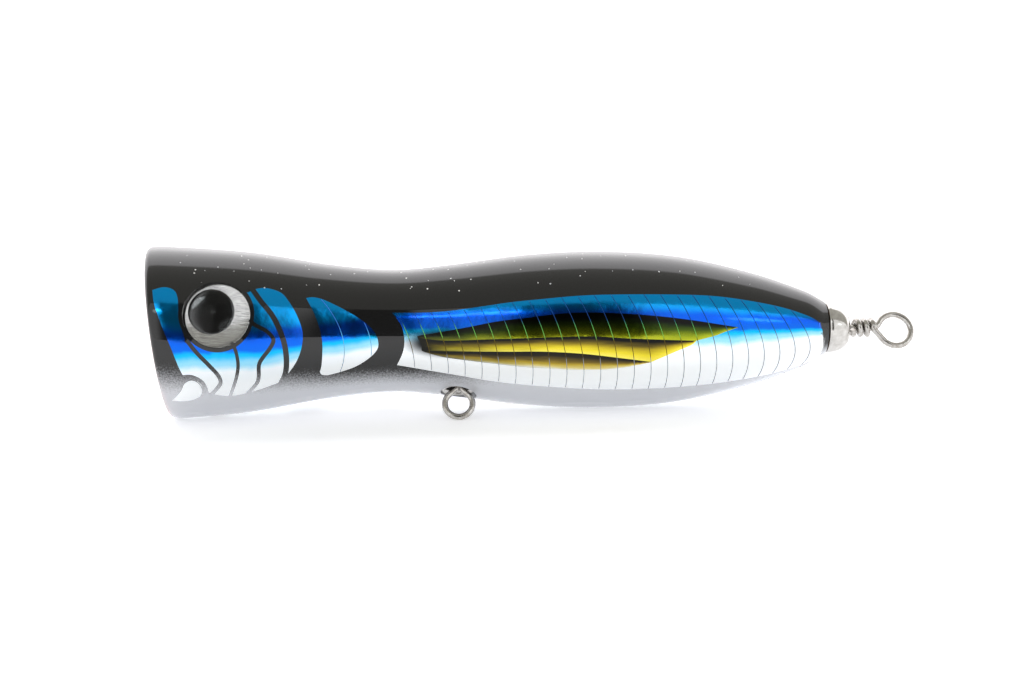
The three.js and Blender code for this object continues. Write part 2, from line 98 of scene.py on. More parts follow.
def smooth_run(points, steps=8):
    """Points along the smooth curve through the given ones."""
    given = np.array(points, float)
    padded = np.vstack([given[:1], given, given[-1:]])
    t = np.linspace(0, 1, steps, endpoint=False)[:, None]
    spans = []
    for a, b, c, d in zip(padded, padded[1:], padded[2:], padded[3:]):
        cubic = 3 * b - a - 3 * c + d
        spans.append(b + 0.5 * ((c - a) * t + (2 * a - 5 * b + 4 * c - d) * t**2 + cubic * t**3))
    return np.vstack(spans + [given[-1:]])


body_curve = smooth_run(body_stations, 24)


def body_radius(x):
    return float(np.interp(x, body_curve[:, 0], body_curve[:, 1]))


def raked(point):
    """Leans a point near the cup, so that the upper lip stands forward."""
    x, y, z = point
    share = min(max(x / rake_end, 0), 1)
    share = 1 - share * share * (3 - 2 * share)
    return x - math.tan(rake) * z * share, y, z


def rounded(profile, radius, closed=True):
    """The profile with each corner eased to about that radius."""
    eased = []
    count = len(profile)
    for i, corner in enumerate(profile):
        here = Vector(corner)
        if not closed and i in (0, count - 1):
            eased.append(tuple(here))
            continue
        before = Vector(profile[i - 1]) - here
        after = Vector(profile[(i + 1) % count]) - here
        start = here + before.normalized() * min(radius, before.length * 0.45)
        end = here + after.normalized() * min(radius, after.length * 0.45)
        for t in (0, 0.25, 0.5, 0.75, 1):
            eased.append(tuple(start * (1 - t) ** 2 + here * 2 * t * (1 - t) + end * t**2))
    return eased


def new_piece(name, points, faces, axes, crease=40):
    """A named mesh object of points in millimetres, set in the given axes, smooth but for its creases."""
    mesh = bpy.data.meshes.new(name)
    mesh.from_pydata([axes @ (Vector(p) * millimetre) for p in points], [], faces)
    mesh.validate()
    mesh.shade_smooth()
    mesh.set_sharp_from_angle(angle=math.radians(crease))
    piece = bpy.data.objects.new(name, mesh)
    bpy.context.scene.collection.objects.link(piece)
    return piece


def outward(piece):
    """Merges doubled points and turns every face outwards."""
    shape = bmesh.new()
    shape.from_mesh(piece.data)
    bmesh.ops.remove_doubles(shape, verts=shape.verts, dist=1e-7)
    bmesh.ops.recalc_face_normals(shape, faces=shape.faces)
    shape.to_mesh(piece.data)
    shape.free()
    return piece


def fastened(piece, body_name, cad_node=None, looks=None):
    """Fixes a piece to its body, in place of its CAD node where it has one."""
    if looks:
        piece.data.materials.append(looks)
    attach(piece, body_name)
    if cad_node:
        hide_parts(cad_node)


def turned(name, profile, axes, sides=64, bend=None):
    """A turned piece: a closed profile of (distance along x, radius), swept round the x axis."""
    points = []
    for x, radius in profile:
        for column in range(sides):
            turn = 2 * math.pi * column / sides
            point = (x, radius * math.cos(turn), radius * math.sin(turn))
            points.append(bend(point) if bend else point)
    faces = []
    rows = len(profile)
    for row in range(rows):
        for column in range(sides):
            beside = (column + 1) % sides
            below = (row + 1) % rows
            faces.append([row * sides + column, row * sides + beside,
                          below * sides + beside, below * sides + column])
    return outward(new_piece(name, points, faces, axes))


hair = 0.001  # the radius at which a solid piece's profile stops short of its axis
nose_ferrule_face = 14.15
nose_ferrule_tube = 3.42
nose_ferrule_flange = 4.32
nose_ferrule_length = 7.36
nose_ferrule_recess = 1.0
fit = 0.3
tail_spigot = 2.2
tail_spigot_length = 6

lip_inner = lip_radius - lip_round - lip_land
cup_radii = np.linspace(nose_ferrule_flange + fit, lip_inner, 24)
cup_wall = [(cup_depth * (1 - (radius / lip_inner) ** 2), radius) for radius in cup_radii]
lip_edge = [(lip_round * (1 - math.cos(turn)), lip_radius - lip_round * (1 - math.sin(turn)))
            for turn in np.linspace(0, math.pi / 2, 9)]
flank_rows = [(x, body_radius(x)) for x in np.linspace(3, body_length - 0.6, 150)]
tail_end = [(body_length - 0.2, tail_radius + 0.2), (body_length, tail_radius - 0.3)]
spigot_hole = [(body_length, tail_spigot + fit), (body_length - tail_spigot_length - fit, tail_spigot + fit),
               (body_length - tail_spigot_length - fit, bore_radius)]
ferrule_back = nose_ferrule_face + nose_ferrule_length + fit
ferrule_hole = [(ferrule_back, bore_radius), (ferrule_back, nose_ferrule_tube + fit),
                (nose_ferrule_face + nose_ferrule_recess, nose_ferrule_tube + fit),
                (nose_ferrule_face + nose_ferrule_recess, nose_ferrule_flange + fit)]
body_profile = cup_wall + lip_edge + flank_rows + tail_end + spigot_hole + ferrule_hole
body = turned("painted_body", body_profile, lure_axes, body_columns, raked)

# What is let into the body from below and from the sides.
eye_station = 16
eye_drop = math.radians(7)
eye_radius = 7.5
eye_flat = math.sqrt(body_radius(eye_station) ** 2 - eye_radius**2)
socket_depth = 2.4
socket_floor = eye_flat - socket_depth
belly_recess = 0.8
belly_face = body_radius(swivel_station) - belly_recess
belly_tube = 3.5
belly_flange = 3.95
belly_ferrule_length = 3.1
belly_seat = belly_ferrule_length + fit
belly_flange_thickness = 0.4
belly_flange_seat = belly_flange_thickness + fit
pocket_radius = 3.35
pocket_top = 3.6
ballast_radius = 6
ballast_top = 3.4
plug_length = 3.8
ballast_end = belly_radius - plug_length - fit
ballast_middle = 0.653 * body_length
ballast_apart = 15.5
ballast_stations = {"front": ballast_middle - ballast_apart, "middle": ballast_middle,
                    "rear": ballast_middle + ballast_apart}
paint_over_plug = 0.6


def plug_face(x):
    """How far down a plug's flat face lies, so that its whole edge stays under the paint."""
    edge = ballast_radius + fit
    narrow = min(body_radius(x - edge), body_radius(x + edge))
    return math.sqrt(narrow**2 - edge**2) - paint_over_plug


def belly_axes(x, lean=0):
    """Axes at a station of the wire, with x down through the belly."""
    down = Vector((0, math.sin(lean), -math.cos(lean)))
    return axes_at(lure_axes @ Vector((x * millimetre, 0, 0)), lure_turn @ down, lure_turn.col[0])


def side_axes(side):
    """Axes at the eye's station, with x out through the middle of the eye and y towards the tail."""
    out = Vector((0, side * math.cos(eye_drop), -math.sin(eye_drop)))
    return axes_at(lure_axes @ Vector((eye_station * millimetre, 0, 0)), lure_turn @ out, lure_turn.col[0])


def plug_profile(near, far, radius):
    """A solid rod's profile, or a cutter's, closed by a hair-thin core."""
    return [(near, hair), (near, radius), (far, radius), (far, hair)]


outside = belly_radius + 3
cutters = [
    turned("pocket_cutter", [(-pocket_top, hair), (-pocket_top, pocket_radius),
                             (belly_face - belly_seat, pocket_radius),
                             (belly_face - belly_seat, belly_tube + fit),
                             (belly_face - belly_flange_seat, belly_tube + fit),
                             (belly_face - belly_flange_seat, belly_flange + fit),
                             (outside, belly_flange + fit), (outside, hair)], belly_axes(swivel_station)),
]
for side in (-1, 1):
    cutters.append(turned("socket_cutter", plug_profile(socket_floor, outside, eye_radius + 0.15),
                          side_axes(side), 96))
for station in ballast_stations.values():
    cutters.append(turned("ballast_cutter", plug_profile(ballast_top - fit, plug_face(station),
                                                         ballast_radius + fit), belly_axes(station)))


def settled(piece):
    """The piece's mesh as its modifiers leave it."""
    return bpy.data.meshes.new_from_object(piece.evaluated_get(bpy.context.evaluated_depsgraph_get()))


def cut_away(piece, tools):
    """Takes the tools' shapes out of the piece, and removes the tools."""
    with bpy.context.temp_override(active_object=tools[0], selected_editable_objects=tools):
        bpy.ops.object.join()
    cut = piece.modifiers.new("cut", "BOOLEAN")
    cut.object = tools[0]
    cut.solver = "EXACT"
    result = settled(piece)
    piece.modifiers.clear()
    piece.data = result
    bpy.data.objects.remove(tools[0])


# ---- Body finish: black back, pearl belly, fluorescent cup ---------------------------------------------
# The back is black, misted down the flanks over a pearl silver belly, and the cup is fluorescent red.
# All of it lies under two coats of clear epoxy.
def paint(red, green, blue):
    """A colour as the eye matches it, on a scale of 255, for a shader."""
    return tuple((v / 255 / 12.92) if v < 11 else ((v / 255 + 0.055) / 1.055) ** 2.4
                 for v in (red, green, blue)) + (1,)


def node(tree, kind, inputs=(), **settings):
    """A node with its settings. An input takes a value or another node's output."""
    made = tree.nodes.new(kind)
    for key, value in settings.items():
        setattr(made, key, value)
    for key, value in dict(inputs).items():
        if isinstance(value, bpy.types.NodeSocket):
            tree.links.new(value, made.inputs[key])
        else:
            made.inputs[key].default_value = value
    return made


def sum_of(tree, operation, *terms):
    return node(tree, "ShaderNodeMath", dict(enumerate(terms)), operation=operation).outputs[0]


def spread(tree, value, low, high, to_low=0.0, to_high=1.0):
    """The value mapped smoothly from one range to another."""
    inputs = {"Value": value, "From Min": low, "From Max": high, "To Min": to_low, "To Max": to_high}
    return node(tree, "ShaderNodeMapRange", inputs, interpolation_type="SMOOTHSTEP").outputs[0]


def blended(tree, share, first, second):
    """Two colours or outputs mixed by a share from 0 to 1."""
    return node(tree, "ShaderNodeMix", {0: share, 6: first, 7: second}, data_type="RGBA").outputs[2]


def ramp(tree, share, stops):
    """A ramp over the given (place, colour) stops, where a plain number stands for a grey level."""
    made = node(tree, "ShaderNodeValToRGB", {"Fac": share})
    elements = made.color_ramp.elements
    while len(elements) < len(stops):
        elements.new(0.5)
    for element, (place, colour) in zip(elements, stops):
        element.position = place
        element.color = colour if isinstance(colour, tuple) else (colour,) * 3 + (1,)
    return made.outputs[0]


def noise(tree, vector, scale, detail=2.0):
    return node(tree, "ShaderNodeTexNoise", {"Vector": vector, "Scale": scale, "Detail": detail}).outputs[0]


def finish(name, colour, **sockets):
    """A material, its tree and its surface shader, with the given settings of the shader."""
    material = bpy.data.materials.new(name)
    material.use_nodes = True
    tree = material.node_tree
    shader = tree.nodes["Principled BSDF"]
    shader.inputs["Base Color"].default_value = colour
    for key, value in sockets.items():
        shader.inputs[key.replace("_", " ")].default_value = value
    return material, tree, shader


def bumped(tree, shader, height, distance_mm, strength=1.0):
    bump = node(tree, "ShaderNodeBump", {"Height": height, "Distance": distance_mm * millimetre,
                                         "Strength": strength})
    tree.links.new(bump.outputs[0], shader.inputs["Normal"])


def from_lure(tree):
    """The lure's own coordinates, in millimetres: the vector, the station x and the degrees above
    mid-height, which run from -90 at the belly to 90 at the back on both sides."""
    to_lure = lure_axes.inverted()
    place = node(tree, "ShaderNodeTexCoord").outputs["Object"]
    settled = node(tree, "ShaderNodeMapping", {
        "Vector": place, "Scale": (1 / millimetre,) * 3, "Rotation": to_lure.to_euler(),
        "Location": to_lure.translation / millimetre}).outputs[0]
    split = node(tree, "ShaderNodeSeparateXYZ", {0: settled})
    level = sum_of(tree, "ARCTAN2", split.outputs[2], sum_of(tree, "ABSOLUTE", split.outputs[1]))
    return settled, split.outputs[0], sum_of(tree, "DEGREES", level)


def mottled(name, base, colour=None, rough=None, relief=None, **sockets):
    """A finish that varies with noise. Each of colour, rough and relief is a noise's (scale, detail,
    stretch), then the colour's stops, the roughness's range or the relief's millimetres and strength."""
    material, tree, shader = finish(name, base, **sockets)
    place = from_lure(tree)[0]

    def grain(scale, detail, stretch):
        stretched = node(tree, "ShaderNodeMapping", {"Vector": place, "Scale": stretch}).outputs[0]
        return noise(tree, stretched, scale, detail)

    if colour:
        tree.links.new(ramp(tree, grain(*colour[:3]), colour[3]), shader.inputs["Base Color"])
    if rough:
        tree.links.new(spread(tree, grain(*rough[:3]), *rough[3:]), shader.inputs["Roughness"])
    if relief:
        bumped(tree, shader, grain(*relief[:3]), *relief[3:])
    return material


even = (1, 1, 1)
black = paint(9, 9, 10)
pearl = paint(200, 202, 207)


def painted_timber():
    material, tree, shader = finish("airbrushed_black_over_pearl", black, Roughness=0.4, Coat_Weight=1.0,
                                    Coat_Roughness=0.02, Coat_IOR=1.52, Specular_IOR_Level=0.1)
    place, station, level = from_lure(tree)
    mist = sum_of(tree, "MULTIPLY_ADD", noise(tree, place, 2.6, 4), 20.0, -10.0)
    # The middle of the mist, in degrees below mid-height, over 100.
    along = sum_of(tree, "DIVIDE", station, float(body_length))
    middle = ramp(tree, along, [(0.0, 0.5), (0.14, 0.56), (0.26, 0.65), (0.37, 0.66), (0.46, 0.6),
                                (0.56, 0.48), (1.0, 0.45)])
    above = sum_of(tree, "ADD", sum_of(tree, "MULTIPLY_ADD", middle, 100.0, level), mist)
    share = spread(tree, above, -14.0, 12.0)
    tail_band = sum_of(tree, "MULTIPLY", spread(tree, station, 158.3, 158.9),
                       spread(tree, level, -80.0, -50.0))
    share = sum_of(tree, "MAXIMUM", share, tail_band)
    # Painted shade: the pearl is darkened towards the bottom of the belly, where the underside turns away from the
    # light.
    painted_underside_shade = spread(tree, level, -50.0, -95.0, 0.0, 0.3)
    silver = blended(tree, painted_underside_shade, pearl, paint(160, 163, 170))
    glitter = node(tree, "ShaderNodeTexVoronoi", {"Vector": place, "Scale": 5.0})
    silver = blended(tree, spread(tree, glitter.outputs["Distance"], 0.0, 0.4, 0.16, 0.0), silver,
                     paint(226, 228, 232))
    tree.links.new(blended(tree, share, silver, black), shader.inputs["Base Color"])
    tree.links.new(spread(tree, share, 0.0, 1.0, 0.45, 0.0), shader.inputs["Metallic"])
    bumped(tree, shader, noise(tree, place, 0.09, 1), 0.02, 0.25)
    return material


def cup_red():
    material, tree, shader = finish("fluorescent_red_cup", paint(214, 40, 58), Roughness=0.3,
                                    Coat_Weight=1.0, Coat_Roughness=0.03)
    place, station, level = from_lure(tree)
    # Painted shade: the red is darkened deeper into the cup, where its hollow falls into shade.
    cup_hollow_shade = spread(tree, station, -3.0, 14.0)
    red = blended(tree, cup_hollow_shade, paint(228, 52, 72), paint(150, 14, 30))
    red = blended(tree, spread(tree, noise(tree, place, 0.5, 3), 0.35, 0.7, 0.0, 0.25), red,
                  paint(190, 22, 40))
    tree.links.new(red, shader.inputs["Base Color"])
    bumped(tree, shader, noise(tree, place, 0.35, 2), 0.03, 0.3)
    return material


body_paint = painted_timber()
along_grain = (0.12, 1.6, 1.6)
wood = mottled("sealed_hardwood", paint(150, 112, 72), Roughness=0.55,
               colour=(1.0, 5, along_grain, [(0.3, paint(118, 82, 48)), (0.55, paint(168, 128, 84)),
                                             (0.75, paint(186, 150, 104))]),
               relief=(1.0, 5, along_grain, 0.05, 0.4))
cup_paint = cup_red()
for tool in cutters:
    tool.data.materials.append(wood if tool.name.startswith("ballast") else body_paint)
for made in (body_paint, cup_paint, wood):
    body.data.materials.append(made)
to_lure = lure_axes.inverted()
for face in body.data.polygons:
    row = (to_lure @ face.center) / millimetre
    radius = math.hypot(row.y, row.z)
    on_lip = radius < lip_radius - lip_round * 0.55 and row.x + math.tan(rake) * row.z < 1.0
    if on_lip or (radius < lip_inner + 0.3 and row.x < cup_depth + 3):
        face.material_index = 1
    if radius < nose_ferrule_flange + 0.2 or radius < tail_spigot + fit + 0.1:
        face.material_index = 2
cut_away(body, cutters)
body.data.set_sharp_from_angle(angle=math.radians(35))
fastened(body, "lure", "body_blank")


# ---- Lead ballast and its plugs -------------------------------------------------------------------------
# Three cast lead slugs are pressed up their holes from the belly, so that the popper sits tail down.
# Each hole is closed by a dowel, glued in and faired off before the paint.
lead = mottled("cast_lead", paint(96, 99, 104), Metallic=0.85, Roughness=0.6,
               colour=(0.8, 5, even, [(0.3, paint(74, 77, 82)), (0.7, paint(122, 125, 130))]),
               relief=(0.8, 5, even, 0.15, 0.6))
for name, station in ballast_stations.items():
    slug = frame["nodes"][f"ballast_{name}"]
    slug.data.materials.clear()
    slug.data.materials.append(lead)
    dowel_profile = [(ballast_end + fit, hair), (ballast_end + fit, ballast_radius - 0.4),
                     (ballast_end + fit + 0.5, ballast_radius),
                     (plug_face(station) - 0.2, ballast_radius), (plug_face(station) - 0.2, hair)]
    dowel = turned(f"dowel_{name}", dowel_profile, belly_axes(station))
    fastened(dowel, "lure", f"ballast_plug_{name}", wood)


# ---- Ferrules and tail cap ------------------------------------------------------------------------------
# Turned and polished stainless steel. The nose ferrule seats the front wraps in the cup's floor, the
# belly ferrule lines the swivel's hole, and the domed cap finishes the tail; all are set in epoxy.
steel = mottled("polished_stainless", paint(226, 224, 220), Metallic=1.0, Roughness=0.1,
                colour=(0.7, 4, even, [(0.3, paint(212, 210, 207)), (0.8, paint(180, 177, 172))]),
                rough=(0.7, 4, even, 0.3, 0.75, 0.07, 0.2), relief=(1.0, 3, (9.0, 0.4, 0.4), 0.012, 0.35))
nose_ferrule_bore = nose_ferrule_tube - 0.5
tail_cap_end = 3.12
tail_cap_length = 5.4
wire_hole = 1.1
ferrule_face = nose_ferrule_face
ferrule_end = ferrule_face + nose_ferrule_length
nose_ferrule_profile = [
    (ferrule_face, nose_ferrule_bore), (ferrule_face, nose_ferrule_flange),
    (ferrule_face + 0.7, nose_ferrule_flange), (ferrule_face + 0.7, nose_ferrule_tube),
    (ferrule_end, nose_ferrule_tube), (ferrule_end, wire_hole),
    (ferrule_end - 0.8, wire_hole), (ferrule_end - 0.8, nose_ferrule_bore),
]
belly_back = belly_face - belly_ferrule_length
belly_step = belly_face - belly_flange_thickness
belly_ferrule_profile = [
    (belly_back, belly_tube - 0.5), (belly_back, belly_tube), (belly_step, belly_tube),
    (belly_step, belly_flange), (belly_face, belly_flange), (belly_face, belly_tube),
    (belly_face - 0.7, belly_tube - 0.5),
]
cap_from = body_length + fit
cap_dome = [(cap_from + tail_cap_length * math.sin(turn),
             tail_cap_end + (tail_radius - 0.15 - tail_cap_end) * math.cos(turn))
            for turn in np.linspace(0.08, math.pi / 2, 20)]
cap_profile = [
    (cap_from - tail_spigot_length, wire_hole), (cap_from - tail_spigot_length, tail_spigot),
    (cap_from, tail_spigot), (cap_from, tail_radius - 0.35), *cap_dome,
    (cap_from + tail_cap_length, wire_hole + 0.2), (cap_from + tail_cap_length - 0.2, wire_hole),
]
turned_metal = {
    "nose_ferrule": turned("polished_nose_ferrule", rounded(nose_ferrule_profile, 0.25), lure_axes, 72),
    "belly_ferrule": turned("polished_belly_ferrule", rounded(belly_ferrule_profile, 0.18),
                            belly_axes(swivel_station), 72),
    "tail_cap": turned("polished_tail_cap", cap_profile, lure_axes, 96),
}
for cad_node, fitting in turned_metal.items():
    fastened(fitting, "lure", cad_node, steel)


# ---- Through-wire -----------------------------------------------------------------------------------------
# One length of hard 1.5 mm stainless wire, bent round a pin at each end into an eye and wound back three
# turns over itself. It carries the whole load from the leader to the tail hook.
wire_radius = 0.75
eye_loop_radius = 4.05
eye_loop_drop = 0.7
wraps = 3
wrap_pitch = 1.72
wrap_radius = 1.62
wrap_to_eye = 5.4
leave = math.radians(140)
meet = math.radians(-138)


def wound_eye(end, towards):
    """The wire's line from the shank out, round the eye and back into its wraps."""
    first_wrap = end + towards * wraps * wrap_pitch
    centre = first_wrap + towards * wrap_to_eye
    points = [(end, 0, 0), (first_wrap - towards, 0, 0), (first_wrap + towards * 0.9, 0, 0.12)]
    for share in np.linspace(0, 1, 17):
        turn = leave + (meet - leave) * share
        late = min(max((share - 0.6) / 0.4, 0), 1)
        aside = -0.35 * wrap_radius * late * late * (3 - 2 * late)
        points.append((centre + towards * eye_loop_radius * math.cos(turn), aside,
                       eye_loop_radius * math.sin(turn) - eye_loop_drop))
    for step in range(wraps * 12 + 1):
        turn = 2 * math.pi * step / 12 - 0.55
        points.append((first_wrap + towards * (0.1 - step / 12 * wrap_pitch),
                       -wrap_radius * math.cos(turn), wrap_radius * math.sin(turn)))
    return points


def new_tree(name, **sockets):
    """A tree of geometry nodes, and the outputs of its named inputs, which ends in one geometry."""
    tree = bpy.data.node_groups.new(name, "GeometryNodeTree")
    for label, kind in sockets.items():
        tree.interface.new_socket(name=label.replace("_", " "), in_out="INPUT",
                                  socket_type="NodeSocket" + kind)
    tree.interface.new_socket(name="Made", in_out="OUTPUT", socket_type="NodeSocketGeometry")
    return tree, tree.nodes.new("NodeGroupInput").outputs


def ended(tree, shape, looks):
    """The tree, ended by realizing the shape's copies and giving them their finish."""
    whole = node(tree, "GeometryNodeRealizeInstances", {"Geometry": shape}).outputs[0]
    done = node(tree, "GeometryNodeSetMaterial", {"Geometry": whole, "Material": looks}).outputs[0]
    tree.links.new(done, tree.nodes.new("NodeGroupOutput").inputs[0])
    return tree


def wire_tree():
    """A round wire of one radius along the edges that it is given."""
    tree, given = new_tree("wire_along_a_path", Path="Geometry", Wire_radius="Float", Sides="Int",
                           Finish="Material")
    line = node(tree, "GeometryNodeMeshToCurve", {"Mesh": given["Path"]}).outputs[0]
    circle = node(tree, "GeometryNodeCurvePrimitiveCircle", {"Resolution": given["Sides"],
                                                            "Radius": given["Wire radius"]}).outputs[0]
    swept = node(tree, "GeometryNodeCurveToMesh", {"Curve": line, "Profile Curve": circle,
                                                   "Fill Caps": True}).outputs[0]
    return ended(tree, swept, given["Finish"])


def grown(name, tree, source, values):
    """The mesh that a tree of geometry nodes makes from a source mesh, as a new piece."""
    modifier = source.modifiers.new("grow", "NODES")
    modifier.node_group = tree
    sockets = {item.name: item.identifier for item in tree.interface.items_tree if item.in_out == "INPUT"}
    for label, value in values.items():
        modifier[sockets[label]] = value
    mesh = settled(source)
    source.modifiers.remove(modifier)
    bpy.data.objects.remove(source)
    mesh.name = name
    mesh.shade_smooth()
    mesh.set_sharp_from_angle(angle=math.radians(45))
    piece = bpy.data.objects.new(name, mesh)
    bpy.context.scene.collection.objects.link(piece)
    return outward(piece)


def wire_piece(name, line, radius, axes, closed=False, sides=16):
    points = smooth_run(line, 5)
    path = bpy.data.meshes.new(name + "_path")
    edges = [(i, i + 1) for i in range(len(points) - 1)]
    if closed:
        points = points[:-1]
        edges = [(i, (i + 1) % len(points)) for i in range(len(points))]
    path.from_pydata([axes @ (Vector(p) * millimetre) for p in points], edges, [])
    source = bpy.data.objects.new(name + "_path", path)
    bpy.context.scene.collection.objects.link(source)
    values = {"Wire radius": radius * millimetre, "Sides": sides, "Finish": wire_finish}
    return grown(name, round_wire, source, values)


round_wire = wire_tree()
wire_finish = mottled(
    "drawn_stainless_wire", paint(220, 217, 212), Metallic=1.0, Roughness=0.16,
    colour=(1.4, 5, even, [(0.3, paint(200, 198, 195)), (0.75, paint(158, 152, 144))]),
    rough=(1.4, 5, even, 0.35, 0.7, 0.1, 0.3), relief=(6.0, 2, even, 0.01, 0.3))
tail_wrap_end = cap_from + tail_cap_length + fit + wire_radius
nose_wrap_end = ferrule_end - 0.8 - fit - wire_radius
wire_line = [*reversed(wound_eye(nose_wrap_end, -1)), (nose_wrap_end + 6, 0, 0), (swivel_station, 0, 0),
             (tail_wrap_end - 12, 0, 0), *wound_eye(tail_wrap_end, 1)]
through_wire = wire_piece("wound_through_wire", wire_line, wire_radius, lure_axes)
fastened(through_wire, "lure", "through_wire")


# ---- Belly swivel -----------------------------------------------------------------------------------------
# A barrel swivel hangs on the through-wire inside its hole, with only the hook eye showing. Each eye is
# wire with an upset head that turns inside the barrel, which is plated brass rolled in at both ends.
swivel_lean = math.radians(4.5)
hanging = belly_axes(swivel_station, -swivel_lean)
barrel_top = 4.2
barrel_sunk = 4.3
barrel_end = belly_face - barrel_sunk
barrel_radius = 2.2
barrel_end_wall = 1.0
upper_loop_radius = 1.95
upper_wire = 0.6
upper_neck = 0.85
upper_centre = -(wire_radius + 0.1) + upper_loop_radius - upper_wire
hook_wire = 0.75
hook_loop_radius = 3.25
hook_neck = 1.1
hook_reach = 7.75
hook_centre = belly_face + hook_reach - hook_wire - hook_loop_radius
head_radius = 1.4


def loop_and_neck(name, centre, loop_radius, wire, neck, head_from, head_to, flat):
    """An eye of wire whose two ends meet in a neck, with an upset head at the neck's far end."""
    towards_head = -1 if head_from < centre else 1
    opening = math.radians(38)
    line = [(centre + towards_head * (loop_radius + wire * 1.5), 0, neck * 0.2)]
    for turn in np.linspace(opening, 2 * math.pi - opening, 30):
        x = centre + towards_head * loop_radius * math.cos(turn)
        line.append((x, 0, loop_radius * math.sin(turn)))
    line.append((centre + towards_head * (loop_radius + wire * 1.5), 0, -neck * 0.2))
    if flat:
        line = [(x, z, y) for x, y, z in line]
    loop = wire_piece(name + "_loop", line, wire, hanging)
    crown = centre + towards_head * (loop_radius - wire * 0.2)
    waist = centre + towards_head * (loop_radius + wire * 2.0)
    profile = [(crown, hair), (crown + towards_head * 0.15, neck * 0.6), (waist, neck), (head_from, neck),
               (head_from, head_radius), (head_to, head_radius - 0.15), (head_to, hair)]
    stem = turned(name, profile if towards_head > 0 else list(reversed(profile)), hanging, 32)
    stem.data.materials.append(wire_finish)
    with bpy.context.temp_override(active_object=stem, selected_editable_objects=[stem, loop]):
        bpy.ops.object.join()
    return stem


upper_head_from = barrel_top + barrel_end_wall + fit
lower_head_to = barrel_end - barrel_end_wall - fit
upper_eye = loop_and_neck("swivel_top_eye", upper_centre, upper_loop_radius, upper_wire, upper_neck,
                          upper_head_from, upper_head_from + 0.9, False)
hook_eye = loop_and_neck("swivel_hook_loop", hook_centre, hook_loop_radius, hook_wire, hook_neck,
                         lower_head_to, lower_head_to - 0.9, True)
barrel_inside = barrel_radius - 0.5
barrel_profile = [
    (barrel_top, upper_neck + fit), (barrel_top, barrel_radius - 0.7), (barrel_top + 0.7, barrel_radius),
    (barrel_top + 2.1, barrel_radius), (barrel_top + 2.3, barrel_radius - 0.15),
    (barrel_top + 2.5, barrel_radius), (barrel_end - 0.7, barrel_radius), (barrel_end, barrel_radius - 0.7),
    (barrel_end, hook_neck + fit), (barrel_end - barrel_end_wall, hook_neck + fit),
    (barrel_end - barrel_end_wall, barrel_inside), (barrel_top + barrel_end_wall, barrel_inside),
    (barrel_top + barrel_end_wall, upper_neck + fit),
]
barrel = turned("swivel_rolled_barrel", rounded(barrel_profile, 0.2), hanging, 48)
barrel.data.materials.append(mottled(
    "black_nickel_plate", paint(110, 106, 100), Metallic=1.0, Roughness=0.25,
    colour=(1.6, 5, even, [(0.35, paint(88, 85, 82)), (0.62, paint(120, 116, 108)),
                           (0.78, paint(168, 148, 104))]),
    rough=(1.6, 5, even, 0.3, 0.8, 0.2, 0.4), relief=(1.6, 5, even, 0.02, 0.4)))
for piece, body_name, cad_node, slot in (
        (upper_eye, "upper_eye", "swivel_upper_eye", "stainless_wire"),
        (barrel, "barrel", "swivel_barrel", "plated_brass"),
        (hook_eye, "hook_eye", "swivel_hook_eye", "stainless_wire")):
    fastened(piece, body_name, cad_node)


# ---- Eyes -------------------------------------------------------------------------------------------------
# Each is a bought 15 mm eye: a brushed silver disc, a black pupil set forward and up of its middle, and
# a clear domed lens over both, glued into a shallow socket with a painted black rim.
iris_base = eye_flat - 1.8
iris_face = eye_flat - 0.8
pupil_radius = 5.2
pupil_forward = 1.45
pupil_up = 1.0
lens_rise = body_radius(eye_station) - eye_flat
lens_sphere = (eye_radius**2 + lens_rise**2) / (2 * lens_rise)


brushed_along = (0.5, 0.5, 12.0)
iris_finish = mottled(
    "brushed_silver_iris", paint(206, 205, 203), Metallic=1.0, Roughness=0.2,
    colour=(1.0, 4, brushed_along, [(0.3, paint(158, 157, 156)), (0.6, paint(214, 213, 211)),
                                    (0.8, paint(238, 237, 235))]),
    rough=(0.35, 2, even, 0.3, 0.7, 0.14, 0.26), relief=(1.0, 4, brushed_along, 0.03, 0.4))
pupil_finish = mottled(
    "gloss_black_pupil", paint(5, 5, 6), Roughness=0.08, Coat_Weight=1.0, Coat_Roughness=0.01,
    colour=(3.0, 3, even, [(0.3, paint(3, 3, 4)), (0.75, paint(12, 11, 12))]))
lens_finish = mottled(
    "clear_moulded_resin", paint(250, 251, 252), Roughness=0.0, IOR=1.2, Transmission_Weight=1.0,
    rough=(0.6, 3, even, 0.4, 0.8, 0.0, 0.03))
